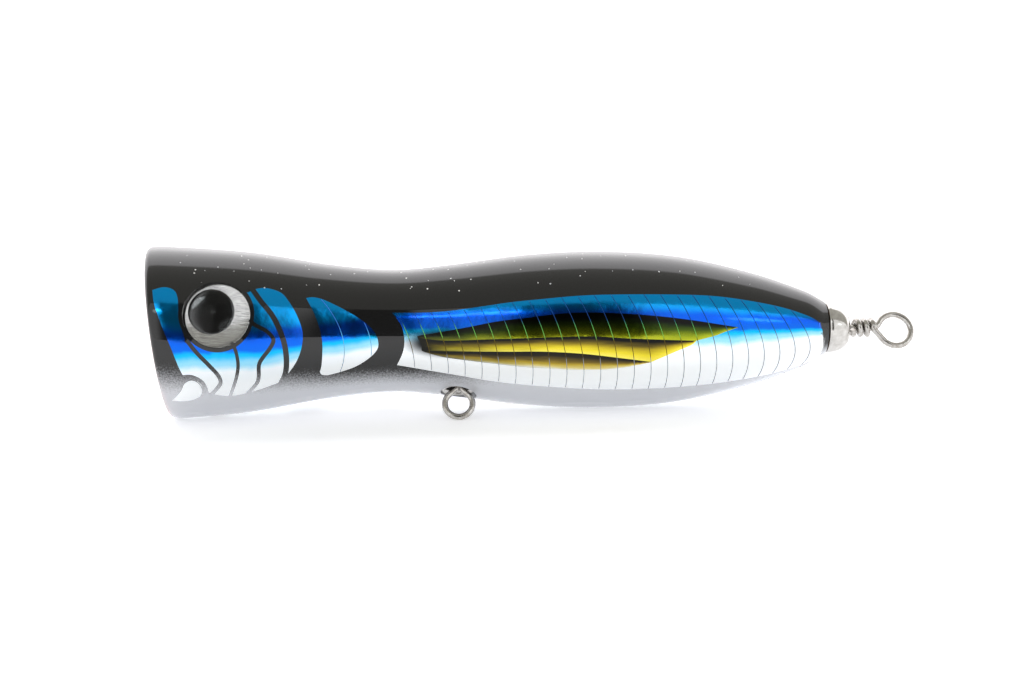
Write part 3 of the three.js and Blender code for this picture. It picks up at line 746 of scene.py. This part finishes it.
for side, side_name in ((-1, "left"), (1, "right")):
    outwards = side_axes(side)
    iris_profile = [(iris_base, hair), (iris_base, eye_radius), (iris_face, eye_radius),
                    (iris_face + 0.12, eye_radius - 0.12), (iris_face + 0.12, eye_radius - 0.35),
                    (iris_face, eye_radius - 0.55), (iris_face, hair)]
    iris = turned(f"{side_name}_brushed_iris", iris_profile, outwards, 96)
    offset = outwards @ Matrix.Translation((0, -pupil_forward * millimetre, 0))
    across = outwards.to_3x3() @ Vector((0, 0, 1))
    back = lure_turn @ Vector((0, 0, 1))
    lift = across * (pupil_up * millimetre * (1 if across.dot(back) > 0 else -1))
    offset = Matrix.Translation(lift) @ offset
    pupil_dome = [(iris_face + 0.02 + 0.45 * math.cos(turn), pupil_radius * math.sin(turn))
                  for turn in np.linspace(math.pi / 2, 0.02, 12)]
    pupil = turned(f"{side_name}_domed_pupil", [(iris_face - 0.15, hair), (iris_face - 0.15, pupil_radius),
                                               *pupil_dome, (iris_face + 0.47, hair)], offset, 96)
    lens_dome = [(eye_flat + math.sqrt(lens_sphere**2 - radius**2) - (lens_sphere - lens_rise), radius)
                 for radius in np.linspace(eye_radius - 0.05, hair, 24)]
    lens = turned(f"{side_name}_clear_lens", [(eye_flat - 0.15, hair), (eye_flat - 0.15, eye_radius - 0.05),
                                             *lens_dome], outwards, 96)
    for piece, part, looks in ((iris, "iris", iris_finish), (pupil, "pupil", pupil_finish),
                               (lens, "lens", lens_finish)):
        fastened(piece, "lure", f"{side_name}_eye_{part}", looks)


# ---- Foil panels ------------------------------------------------------------------------------------------
# Thin metal foil is cut out, burnished on to the sealed timber and tinted blue, fading to cyan and then
# to bare silver. The clear coat rounds its edges. Outlines are (station, degrees above mid-height).
foil_top = 0.06
foil_seat = -0.12
eased_edge = 0.045  # the coat is this much thinner at a panel's edge
surface_grid = 1.0


def round_eye(radius, turn):
    """A point at a radius from the eye's middle, as a station before the rake and degrees."""
    x = eye_station + radius * math.cos(turn)
    degrees = -math.degrees(eye_drop) + math.degrees(math.asin(radius * math.sin(turn) / body_radius(x)))
    height = body_radius(x) * math.sin(math.radians(degrees))
    share = min(max(x / rake_end, 0), 1)
    return x + math.tan(rake) * height * (1 - share * share * (3 - 2 * share)), degrees


under_eye = [round_eye(eye_radius + 0.5, turn) for turn in np.radians(np.linspace(-146, 42, 14))]
panel_outlines = {
    "gill": [[(1.9, 9), (2.0, 0), (2.6, -8), (3.4, -17), (4.7, -30), (5.7, -42.4), (6.5, -49.5)],
             [(6.5, -49.5), (8.6, -51.2), (10.3, -56), (11.2, -62.4)],
             [(11.2, -62.4), (13.4, -65.6), (17.5, -68.4), (22.2, -66.3), (25.7, -63.9), (29.8, -59.8)],
             [(29.8, -59.8), (31.7, -52.8), (33.9, -41.7), (35.1, -29.6), (35.2, -18.6), (34, -6.6),
              (32.3, 3.4), (30.2, 11.4), (26.7, 14.2), (23.7, 11.5)],
             [(23.7, 11.5), (23.1, 9.6), under_eye[-1]],
             under_eye[::-1],
             [under_eye[0], (8.3, -25.3), (7.6, -15.7), (7.3, -6.6), (7.4, 3), (6.7, 9), (4.6, 11.2),
              (1.9, 9)]],
    "mouth": [[(2.3, -69.4), (3.6, -65.5), (5.2, -60), (6.3, -54.6), (8.1, -52.2), (9.7, -55),
               (10.2, -61.2), (9.1, -67), (6, -70.3), (2.3, -69.4)]],
    "shoulder": [[(36, 8.4), (37.5, 9.6), (39.4, 8.6), (41.4, 5.7), (44.4, 0.3), (47.9, -7.4), (50.8, -16.4),
                  (52.2, -24.5), (52.3, -34.9), (50.1, -44.5), (46.5, -52.8), (41.2, -58.3),
                  (39.3, -57.4), (38.9, -54.2)],
                 [(38.9, -54.2), (39.4, -46.9), (39.7, -30.2), (39.2, -17.6), (37.8, -4.2), (36, 8.4)]],
    "flank": [[(55.7, -2.4), (57.8, -14.3), (58.5, -27), (58.1, -38.8), (56.7, -52)],
              [(56.7, -52), (61.9, -55.5), (70.8, -60), (79.7, -63.5), (93.7, -65.4), (106.9, -67.5),
               (120.2, -68.9), (127.9, -70.9), (135.1, -73.9), (142.6, -77.9), (150.1, -82.5),
               (158.2, -86.5)],
              [(158.2, -86.5), (158.5, -60), (158.3, -39.4), (157.4, -10.8)],
              [(157.4, -10.8), (154.5, -2), (149, 4.6), (141.7, 7.6), (132.2, 8.8), (119.6, 7.3),
               (109.8, 6.5), (100, 5.7), (90.3, 3.8), (82.6, 2.2), (76.7, 0.2), (67.9, -2.6),
               (61.9, -2.9), (55.7, -2.4)]],
}


def outline_points(runs):
    """A closed outline from smooth runs that meet at corners."""
    points = [point for run in runs for point in smooth_run(run, 6)[:-1]]
    return np.array(points)


def on_surface(x, degrees, side, above):
    """A point just above or below the clear coat, in the lure's own frame."""
    turn = math.radians(degrees)
    radius = body_radius(x) + above
    return raked((x, side * radius * math.cos(turn), radius * math.sin(turn)))


def surface_patch(name, outline, side, top, seat, eased_by=eased_edge):
    """A thin closed patch laid on the body inside an outline, with its upper edge eased over."""
    scale = np.array([1.0, math.radians(1) * 17])
    flat = outline * scale
    low, high = flat.min(0), flat.max(0)
    grid = [(x, y) for x in np.arange(low[0], high[0], surface_grid)
            for y in np.arange(low[1], high[1], surface_grid)]
    closed = np.vstack([flat, flat[:1]])

    def clearance(point):
        spans = closed[1:] - closed[:-1]
        share = np.clip(((point - closed[:-1]) * spans).sum(1) / (spans**2).sum(1), 0, 1)
        return np.sqrt(((closed[:-1] + spans * share[:, None] - point) ** 2).sum(1)).min()

    inner = [Vector(p) for p in grid if clearance(np.array(p)) > surface_grid * 0.4]
    edge = [Vector(p) for p in flat]
    found, _, triangles, _, _, _ = delaunay_2d_cdt(edge + inner, [], [list(range(len(edge)))], 1, 1e-6)
    count = len(found)
    border = {}
    for triangle in triangles:
        for a, b in zip(triangle, triangle[1:] + triangle[:1]):
            border[(a, b)] = border.get((a, b), 0) + 1
            border[(b, a)] = border.get((b, a), 0) - 1
    open_edges = [pair for pair, times in border.items() if times == 1]
    rim = {a for a, b in open_edges} | {b for a, b in open_edges}
    points, stations = [], []
    for layer in (top, seat):
        for i, at in enumerate(found):
            x, degrees = at[0], at[1] / scale[1]
            above = layer - eased_by if layer == top and i in rim else layer
            points.append(on_surface(x, degrees, side, above))
            stations.append((x, degrees))
    faces = [list(t) for t in triangles]
    faces += [[v + count for v in reversed(t)] for t in triangles]
    faces += [[b, a, a + count, b + count] for a, b in open_edges]
    return new_piece(name, points, faces, lure_axes, 60), stations


def burnished(tree, shader, place):
    """The small crinkles of foil that was rubbed down by hand."""
    crinkle = noise(tree, place, 0.33, 3)
    tree.links.new(spread(tree, crinkle, 0.3, 0.7, 0.1, 0.18), shader.inputs["Roughness"])
    bumped(tree, shader, crinkle, 0.12, 0.35)


def tinted_foil_with_painted_reflection():
    material, tree, shader = finish("tinted_foil_with_painted_reflection", paint(0, 120, 215), Metallic=1.0, Roughness=0.15,
                                    Coat_Weight=0.25, Coat_Roughness=0.02, Coat_IOR=1.5)
    place, station, level = from_lure(tree)
    along = sum_of(tree, "DIVIDE", station, float(body_length))
    # Where the blue has turned to cyan, in degrees below mid-height, over 58.
    waterline = ramp(tree, along, [(0.08, 0.6), (0.15, 0.62), (0.27, 0.5), (0.37, 0.34), (0.85, 0.4),
                                   (1.0, 0.37)])
    depth = sum_of(tree, "MULTIPLY_ADD", waterline, 58.0, level)
    wander = sum_of(tree, "MULTIPLY_ADD", noise(tree, place, 0.25, 3), 5.0, -2.5)
    share = spread(tree, sum_of(tree, "ADD", depth, wander), -30.0, 30.0)
    # Painted reflection: above the royal band the blue turns back to a lighter cyan along the top of the foil,
    # where the bright panel overhead reflects. The fade from blue through cyan to silver below is the foil's own
    # tint.
    tint_and_top_reflection = ramp(tree, share, [(0.0, paint(243, 246, 248)), (0.2, paint(236, 242, 246)),
                              (0.36, paint(142, 208, 234)), (0.5, paint(6, 176, 236)),
                              (0.6, paint(0, 98, 220)), (0.82, paint(0, 88, 222)),
                              (0.96, paint(0, 160, 238))])
    tint_and_top_reflection.node.color_ramp.interpolation = "EASE"
    ahead = sum_of(tree, "DIVIDE", sum_of(tree, "SUBTRACT", station, 67.0), 9.0)
    aside = sum_of(tree, "DIVIDE", sum_of(tree, "ADD", level, 30.0), 13.0)
    away = sum_of(tree, "SQRT", sum_of(tree, "ADD", sum_of(tree, "MULTIPLY", ahead, ahead),
                                       sum_of(tree, "MULTIPLY", aside, aside)))
    smoke = spread(tree, away, 0.5, 1.2)
    tree.links.new(blended(tree, smoke, paint(14, 15, 16), tint_and_top_reflection), shader.inputs["Base Color"])
    burnished(tree, shader, place)
    return material


foil = tinted_foil_with_painted_reflection()
for side, side_name in ((-1, "left"), (1, "right")):
    for panel, runs in panel_outlines.items():
        outline = outline_points(runs)
        patch, _ = surface_patch(f"{side_name}_{panel}_foil", outline, side, foil_top, foil_seat)
        outward(patch)
        cad_foil = None if panel == "mouth" else f"{side_name}_foil_{panel}"
        fastened(patch, "lure", cad_foil, foil)


# ---- Printed fins -----------------------------------------------------------------------------------------
# Three overlapping fins are sprayed on the flank foil through stencils, in transparent yellow and green
# with a black leading edge, so that the foil shines through them.
fin_edges = [
    [(61.5, -23.6), (67, -20.2), (73.7, -16.1), (79.6, -12.5), (87, -10.0), (96.6, -7.2), (106.3, -7.5),
     (116.1, -9.4), (126, -12.8), (136.4, -18)],
    [(61.5, -25), (67.8, -27.6), (80.5, -25.8), (99.8, -23.8), (109.5, -25.4), (119.3, -27), (126.1, -28.2)],
    [(62.5, -37), (70, -36.6), (80.5, -35.7), (90.2, -34.9), (99.8, -36.3), (109.6, -40.3), (115.6, -43.4)],
    [(63.1, -38.2), (67.8, -42.5), (76.6, -45.5), (87.5, -48), (100, -49), (108.1, -48), (112, -46),
     (115.6, -43.6)],
]
fin_tails = [[(136.4, -18), (133.5, -21.2), (130.4, -25), (126.1, -28.2)],
             [(126.1, -28.2), (124.8, -31.6), (121.1, -36.2), (115.6, -43.4)], []]
fin_top = foil_top + 0.035
fin_seat = foil_top - 0.05
fin_easing = 0.01
black_ink = paint(10, 10, 9)
fin_inks = {
    "upper": [(0.0, black_ink), (0.16, black_ink), (0.3, paint(26, 40, 14)), (0.52, paint(62, 84, 12)),
              (0.78, paint(128, 142, 20)), (1.0, paint(172, 178, 34))],
    "middle": [(0.0, black_ink), (0.13, black_ink), (0.3, paint(84, 72, 24)), (0.52, paint(172, 152, 34)),
               (0.75, paint(222, 204, 46)), (1.0, paint(236, 222, 90))],
    "lower": [(0.0, paint(26, 24, 20)), (0.24, paint(40, 36, 28)), (0.48, paint(110, 92, 38)),
              (0.68, paint(186, 160, 56)), (0.85, paint(216, 200, 120)), (1.0, paint(232, 236, 236))],
}


def fin_ink(name, stops):
    material, tree, shader = finish(f"{name}_fin_ink_on_foil", stops[2][1], Metallic=1.0, Roughness=0.15,
                                    Coat_Weight=0.25, Coat_Roughness=0.02, Coat_IOR=1.5)
    place, station, level = from_lure(tree)
    across = node(tree, "ShaderNodeSeparateXYZ", {0: node(tree, "ShaderNodeUVMap").outputs[0]})
    stretched = node(tree, "ShaderNodeMapping", {"Vector": place, "Scale": (0.1, 1.0, 1.0)}).outputs[0]
    streak = sum_of(tree, "MULTIPLY_ADD", noise(tree, stretched, 0.9, 3), 0.24, -0.12)
    ink = ramp(tree, sum_of(tree, "ADD", across.outputs[1], streak), stops)
    root = spread(tree, sum_of(tree, "ADD", across.outputs[0], streak), 0.0, 0.5)
    root = sum_of(tree, "POWER", root, 0.6)
    tree.links.new(blended(tree, root, paint(24, 24, 20), ink), shader.inputs["Base Color"])
    burnished(tree, shader, place)
    return material


fin_curves = [smooth_run(edge, 6) for edge in fin_edges]
for index, (name, stops) in enumerate(fin_inks.items()):
    ink = fin_ink(name, stops)
    upper, lower = fin_curves[index], fin_curves[index + 1]
    tail = smooth_run(fin_tails[index], 6) if fin_tails[index] else np.empty((0, 2))
    outline = np.vstack([upper, tail[1:-1], lower[::-1]])
    below = np.vstack([lower, tail[::-1][1:]]) if len(tail) else lower
    for side, side_name in ((-1, "left"), (1, "right")):
        fin, stations = surface_patch(f"{side_name}_{name}_fin", outline, side, fin_top, fin_seat, fin_easing)
        chart = fin.data.uv_layers.new(name="across")
        for loop in fin.data.loops:
            x, degrees = stations[loop.vertex_index]
            high = np.interp(x, upper[:, 0], upper[:, 1])
            low = np.interp(x, below[:, 0], below[:, 1])
            chart.data[loop.index].uv = ((x - 61.5) / 75, (high - degrees) / max(high - low, 0.5))
        outward(fin)
        fastened(fin, "lure", None, ink)


# ---- Gill lines and socket rims ---------------------------------------------------------------------------
# Black lines are masked and sprayed over the head foil to draw the gills, and a black ring is painted
# round each eye socket. They fade into the pearl with the rest of the body's black.
ink_top = foil_top + 0.05
rim_width = 0.9
gill_lines = {
    "cheek_line": ([(8.2, -23.6), (8.9, -26), (10.4, -32.3), (13, -41.4), (14.9, -49.2), (15.2, -55.5),
                    (13.4, -62), (12.2, -65.8)], 1.0),
    "mouth_line": ([(6.0, -49.4), (8.3, -49.4), (10.2, -52.6), (11.1, -57), (11.3, -63.5)], 1.0),
    "front_gill_line": ([(18.9, -26), (19.8, -32), (20.1, -42.2), (19.2, -53), (17, -68.6)], 0.85),
    "middle_gill_line": ([(23.4, -10.5), (24.4, -14), (27.3, -19), (28.7, -24.9), (27.8, -31.4),
                          (26.1, -37.8), (25.1, -43.2), (24.8, -52.8), (24, -59.1), (21.6, -67)], 0.95),
    "rear_gill_line": ([(23.4, 13.8), (24.2, 10.8), (25.9, 3), (28.5, -7.3), (30.2, -18.5), (31.2, -29),
                        (31.5, -40.9), (31.1, -52), (29.9, -61)], 1.25),
}


def ink_line(name, line, width, side, closed=False):
    """A flat painted line of one width along a smooth run on the body, closed on every side."""
    run = smooth_run(line, 6)
    scale = np.array([1.0, math.radians(1) * 19])
    flat = run * scale
    if closed:
        flat = flat[:-1]
        ahead = np.roll(flat, -1, 0) - np.roll(flat, 1, 0)
    else:
        ahead = np.gradient(flat, axis=0)
    ahead /= np.linalg.norm(ahead, axis=1)[:, None]
    aside = np.stack([-ahead[:, 1], ahead[:, 0]], 1) * width / 2
    points = []
    for at, step in zip(flat, aside):
        for edge, above in ((1, ink_top), (-1, ink_top), (-1, 0), (1, 0)):
            x, degrees = (at + step * edge) / scale
            points.append(on_surface(x, degrees, side, above))
    count = len(flat)
    faces = []
    for i in range(count if closed else count - 1):
        here, there = 4 * i, 4 * ((i + 1) % count)
        faces += [[here + k, here + (k + 1) % 4, there + (k + 1) % 4, there + k] for k in range(4)]
    if not closed:
        faces += [[3, 2, 1, 0], [4 * count - 4, 4 * count - 3, 4 * count - 2, 4 * count - 1]]
    return outward(new_piece(name, points, faces, lure_axes, 30))


for side, side_name in ((-1, "left"), (1, "right")):
    lines = [ink_line(f"{side_name}_{name}", line, width, side) for name, (line, width) in gill_lines.items()]
    ring = [round_eye(eye_radius + rim_width / 2 + 0.1, turn) for turn in np.linspace(0, 2 * math.pi, 49)]
    lines.append(ink_line(f"{side_name}_socket_rim", ring, rim_width, side, closed=True))
    for painted in lines:
        fastened(painted, "lure", None, body_paint)


# ---- Scored scale lines -----------------------------------------------------------------------------------
# The foil is scored across with a blunt point before the clear coat, one curved line every 4 mm along
# the flank and two on the shoulder, for scales that catch the light.
def scoring_tree():
    """Narrow curved strips across a surface, dropped on to it from the side."""
    tree, given = new_tree(
        "scored_lines", Blank="Geometry", Surface="Object", Lines="Int", First_station="Float", Pitch="Float",
        Width="Float", Highest_degrees="Float", Lowest_degrees="Float", Above="Float", Side="Float",
        Nose="Vector", Along="Vector", Sideways="Vector", Upwards="Vector", Finish="Material")

    def scaled(vector, amount):
        return node(tree, "ShaderNodeVectorMath", {0: vector, "Scale": amount}, operation="SCALE").outputs[0]

    def added(first, second):
        return node(tree, "ShaderNodeVectorMath", {0: first, 1: second}, operation="ADD").outputs[0]

    step = node(tree, "ShaderNodeCombineXYZ", {0: given["Pitch"]}).outputs[0]
    starts = node(tree, "GeometryNodeMeshLine", {"Count": given["Lines"], "Offset": step}).outputs[0]
    strip = node(tree, "GeometryNodeMeshGrid", {"Size X": given["Width"], "Size Y": 1.0, "Vertices X": 2,
                                                "Vertices Y": 90}).outputs[0]
    copies = node(tree, "GeometryNodeInstanceOnPoints", {"Points": starts, "Instance": strip}).outputs[0]
    strips = node(tree, "GeometryNodeRealizeInstances", {"Geometry": copies}).outputs[0]
    place = node(tree, "ShaderNodeSeparateXYZ", {0: tree.nodes.new("GeometryNodeInputPosition").outputs[0]})
    down = sum_of(tree, "SUBTRACT", 0.5, place.outputs[1])
    curve = sum_of(tree, "MULTIPLY", down, sum_of(tree, "MULTIPLY_ADD", down, -14.4, 19.0))
    station = sum_of(tree, "ADD", sum_of(tree, "ADD", given["First station"], place.outputs[0]), curve)
    fall = sum_of(tree, "MULTIPLY", down, sum_of(tree, "SUBTRACT", given["Lowest degrees"],
                                                 given["Highest degrees"]))
    level = sum_of(tree, "RADIANS", sum_of(tree, "ADD", given["Highest degrees"], fall))
    outwards = added(scaled(given["Sideways"], sum_of(tree, "MULTIPLY", given["Side"],
                                                      sum_of(tree, "COSINE", level))),
                     scaled(given["Upwards"], sum_of(tree, "SINE", level)))
    on_axis = added(given["Nose"], scaled(given["Along"], sum_of(tree, "MULTIPLY", station, millimetre)))
    lifted = node(tree, "GeometryNodeSetPosition", {
        "Geometry": strips, "Position": added(on_axis, scaled(outwards, 0.04))}).outputs[0]
    here = tree.nodes.new("GeometryNodeInputPosition").outputs[0]
    kept_out = node(tree, "GeometryNodeCaptureAttribute", {"Geometry": strips})
    kept_out.capture_items.new("VECTOR", "Outwards")
    tree.links.new(outwards, kept_out.inputs["Outwards"])
    tree.links.new(kept_out.outputs[0], lifted.node.inputs["Geometry"])
    surface = node(tree, "GeometryNodeObjectInfo", {"Object": given["Surface"]}).outputs["Geometry"]
    cast = node(tree, "GeometryNodeRaycast", {
        "Target Geometry": surface, "Source Position": here,
        "Ray Direction": scaled(kept_out.outputs["Outwards"], -1.0), "Ray Length": 0.04})
    missed = node(tree, "FunctionNodeBooleanMath", {0: cast.outputs["Is Hit"]}, operation="NOT").outputs[0]
    landed = node(tree, "GeometryNodeSetPosition", {
        "Geometry": lifted, "Selection": cast.outputs["Is Hit"],
        "Position": added(cast.outputs["Hit Position"],
                          scaled(cast.outputs["Hit Normal"], given["Above"]))}).outputs[0]
    flagged = node(tree, "GeometryNodeCaptureAttribute", {"Geometry": lifted})
    flagged.capture_items.new("BOOLEAN", "Missed")
    tree.links.new(missed, flagged.inputs["Missed"])
    tree.links.new(flagged.outputs[0], landed.node.inputs["Geometry"])
    kept = node(tree, "GeometryNodeDeleteGeometry", {"Geometry": landed,
                                                     "Selection": flagged.outputs["Missed"]})
    return ended(tree, kept.outputs[0], given["Finish"])


def thickened(piece, amount_mm):
    """Gives an open sheet a thickness, which closes it."""
    solidify = piece.modifiers.new("thickness", "SOLIDIFY")
    solidify.thickness = amount_mm * millimetre
    solidify.offset = -1
    result = settled(piece)
    piece.modifiers.clear()
    piece.data = result


def scored_line_colour_with_painted_glint():
    material, tree, shader = finish("scored_line_with_painted_glint", paint(60, 70, 84), Metallic=0.7, Roughness=0.3)
    place, station, level = from_lure(tree)
    share = spread(tree, level, -60.0, 12.0)
    # Painted highlight: across the upper fin the scored lines are coloured a light green, lighter than the ink
    # round them, for the glint that they catch. Elsewhere they are coloured darker than the foil round them.
    fin_score_with_painted_glint = ramp(tree, share, [(0.0, paint(150, 154, 160)), (0.17, paint(140, 144, 150)),
                                 (0.21, paint(74, 60, 14)), (0.44, paint(92, 76, 12)),
                                 (0.5, paint(120, 190, 84)), (0.66, paint(86, 168, 88)),
                                 (0.74, paint(14, 62, 128))])
    beyond = ramp(tree, share, [(0.0, paint(160, 164, 170)), (0.4, paint(120, 142, 160)),
                                (0.6, paint(20, 84, 140)), (1.0, paint(12, 58, 118))])
    flank = blended(tree, spread(tree, station, 126.0, 134.0), fin_score_with_painted_glint, beyond)
    shoulder = ramp(tree, share, [(0.0, paint(150, 160, 168)), (0.5, paint(90, 180, 226)),
                                  (0.7, paint(60, 120, 220))])
    tree.links.new(blended(tree, spread(tree, station, 54.0, 55.0), shoulder, flank),
                   shader.inputs["Base Color"])
    return material


scoring = scoring_tree()
score_colour_with_painted_glint = scored_line_colour_with_painted_glint()
scale_lines = {
    "flank": dict(lines=26, first=50.6, pitch=3.92, width=0.16, top=10.0, low=-88.0),
    "shoulder": dict(lines=2, first=38.4, pitch=6.2, width=0.16, top=12.0, low=-60.0),
}
for side, side_name in ((-1, "left"), (1, "right")):
    for panel, row in scale_lines.items():
        blank = bpy.data.objects.new("scoring_source", bpy.data.meshes.new("scoring_source"))
        bpy.context.scene.collection.objects.link(blank)
        lines = grown(f"{side_name}_{panel}_scale_lines", scoring, blank, {
            "Surface": bpy.data.objects[f"{side_name}_{panel}_foil"], "Lines": row["lines"],
            "First station": row["first"], "Pitch": row["pitch"], "Width": row["width"],
            "Highest degrees": row["top"], "Lowest degrees": row["low"], "Above": 0.06 * millimetre,
            "Side": float(side), "Nose": nose, "Along": lure_turn.col[0], "Sideways": lure_turn.col[1],
            "Upwards": lure_turn.col[2], "Finish": score_colour_with_painted_glint})
        thickened(lines, 0.07)
        fastened(lines, "lure")


# ---- Metal flake ------------------------------------------------------------------------------------------
# A pinch of coarse silver flake is stirred into the last coat over the black back, so that single flakes
# sparkle in the gloss.
flake_density = 36000  # to the square metre
flake_radius = 0.19
flake_thickness = 0.04


def flake_tree():
    """Small flat flakes strewn over a surface, each lying flat on it."""
    tree, given = new_tree("strewn_flake", Surface="Geometry", Density="Float", Seed="Int",
                           Flake_radius="Float", Thickness="Float", Finish="Material")
    strewn = node(tree, "GeometryNodeDistributePointsOnFaces", {
        "Mesh": given["Surface"], "Density": given["Density"], "Seed": given["Seed"]})
    flake = node(tree, "GeometryNodeMeshCylinder", {"Vertices": 7, "Radius": given["Flake radius"],
                                                    "Depth": given["Thickness"]}).outputs[0]
    size = node(tree, "FunctionNodeRandomValue", {"Min": 0.45, "Max": 1.15, "Seed": given["Seed"]}).outputs[1]
    size_vector = node(tree, "ShaderNodeCombineXYZ", {0: size, 1: size, 2: 1.0}).outputs[0]
    copies = node(tree, "GeometryNodeInstanceOnPoints", {
        "Points": strewn.outputs["Points"], "Instance": flake, "Rotation": strewn.outputs["Rotation"],
        "Scale": size_vector}).outputs[0]
    return ended(tree, copies, given["Finish"])


back_rows = np.linspace(3, 156, 60)
back_turns = np.linspace(14, 166, 30)
back_points = [on_surface(x, turn, 1, 0.01) for x in back_rows for turn in back_turns]
width = len(back_turns)
back_faces = [[r * width + c, (r + 1) * width + c, (r + 1) * width + c + 1, r * width + c + 1]
              for r in range(len(back_rows) - 1) for c in range(width - 1)]
back = new_piece("flaked_back", back_points, back_faces, lure_axes)
flake_finish = mottled("silver_flake", paint(250, 250, 250), Metallic=0.15, Roughness=0.35,
                       colour=(0.2, 1, even, [(0.35, paint(205, 208, 212)), (0.6, paint(255, 254, 250))]))
flakes = grown("silver_flakes", flake_tree(), back, {
    "Density": float(flake_density), "Seed": 11, "Flake radius": flake_radius * millimetre,
    "Thickness": flake_thickness * millimetre, "Finish": flake_finish})
fastened(flakes, "lure")


# ---- Studio ----------------------------------------------------------------------------------------------
# A pale table, a soft overhead panel, a bright wall behind and a darker room on the camera's side.
camera_from_nose = Vector((67.13, -380.07, 62.26)) * millimetre
focal_length = 56.25
turned_right = math.radians(2.549)
tipped_down = math.radians(9.9)
rolled = math.radians(0.86)

forward = Vector((math.sin(turned_right) * math.cos(tipped_down),
                  math.cos(turned_right) * math.cos(tipped_down), -math.sin(tipped_down)))
level_right = Vector((math.cos(turned_right), -math.sin(turned_right), 0))
level_up = level_right.cross(forward)
right = level_right * math.cos(rolled) - level_up * math.sin(rolled)
upward = level_up * math.cos(rolled) + level_right * math.sin(rolled)
lens_data = bpy.data.cameras.new("camera")
lens_data.lens = focal_length
lens_data.sensor_width = 36
lens_data.clip_start = 0.01
camera = bpy.data.objects.new("camera", lens_data)
camera.matrix_world = (Matrix.Translation(nose + camera_from_nose)
                       @ Matrix((right, upward, -forward)).transposed().to_4x4())
bpy.context.scene.collection.objects.link(camera)
bpy.context.scene.camera = camera

table_size = 6.0
table_mesh = bpy.data.meshes.new("table")
half = table_size / 2
table_mesh.from_pydata([(-half, -half, 0), (half, -half, 0), (half, half, 0), (-half, half, 0)], [],
                       [(0, 1, 2, 3)])
table = bpy.data.objects.new("table", table_mesh)
bpy.context.scene.collection.objects.link(table)
table_mesh.materials.append(finish("white_table", paint(244, 245, 248), Roughness=0.6,
                                   Emission_Color=(1, 1, 1, 1), Emission_Strength=0.4)[0])

room = bpy.data.worlds.new("studio")
room.use_nodes = True
bpy.context.scene.world = room
tree = room.node_tree
direction = node(tree, "ShaderNodeSeparateXYZ", {0: node(tree, "ShaderNodeTexCoord").outputs["Generated"]})
towards_camera = sum_of(tree, "MULTIPLY", direction.outputs[1], -1.0)
around = sum_of(tree, "ARCTAN2", direction.outputs[2], towards_camera)
share = sum_of(tree, "DIVIDE", sum_of(tree, "DEGREES", around), 180.0)
grey = [(v, v * 0.985, v * (0.9 if v < 0.3 else 1), 1) for v in (0.032, 0.036, 0.205, 0.24, 0.85, 0.5)]
high_light = ramp(tree, share, [(0.0, grey[0]), (0.268, grey[1]), (0.276, grey[2]), (0.6, grey[3]),
                                (0.62, grey[4]), (0.88, grey[4]), (0.97, grey[5])])
# The dark gap beside the camera is narrow: two side panels stand left and right of it.
azimuth = sum_of(tree, "DEGREES", sum_of(tree, "ARCTAN2", direction.outputs[0], towards_camera))
off_centre = sum_of(tree, "ABSOLUTE", sum_of(tree, "SUBTRACT", azimuth, 2.0))
side_panels = spread(tree, off_centre, 10.0, 20.0, 0.0, 0.5)
low = sum_of(tree, "LESS_THAN", share, 0.268)
light = blended(tree, sum_of(tree, "MULTIPLY", side_panels, low), high_light, (1, 1, 1, 1))
# Two small lamps on the camera's side put the glints on the blue foil.
sideways = sum_of(tree, "DEGREES", sum_of(tree, "ARCSINE", direction.outputs[0]))
for height, aside, tall, wide in ((37.5, -12.5, 3.0, 5.0), (28.5, 43.0, 3.5, 7.0)):
    up = sum_of(tree, "DIVIDE", sum_of(tree, "SUBTRACT", sum_of(tree, "DEGREES", around), height), tall)
    across = sum_of(tree, "DIVIDE", sum_of(tree, "SUBTRACT", sideways, aside), wide)
    away = sum_of(tree, "ADD", sum_of(tree, "MULTIPLY", up, up), sum_of(tree, "MULTIPLY", across, across))
    light = blended(tree, spread(tree, away, 0.5, 1.2, 1.0, 0.0), light, (1.6, 1.7, 1.7, 1))
seen = node(tree, "ShaderNodeLightPath").outputs["Is Camera Ray"]
shown = blended(tree, seen, light, (1, 1, 1, 1))
background = tree.nodes["Background"]
tree.links.new(shown, background.inputs["Color"])
background.inputs["Strength"].default_value = 2.4
bpy.context.scene.view_settings.view_transform = "Standard"

bpy.context.view_layer.update()
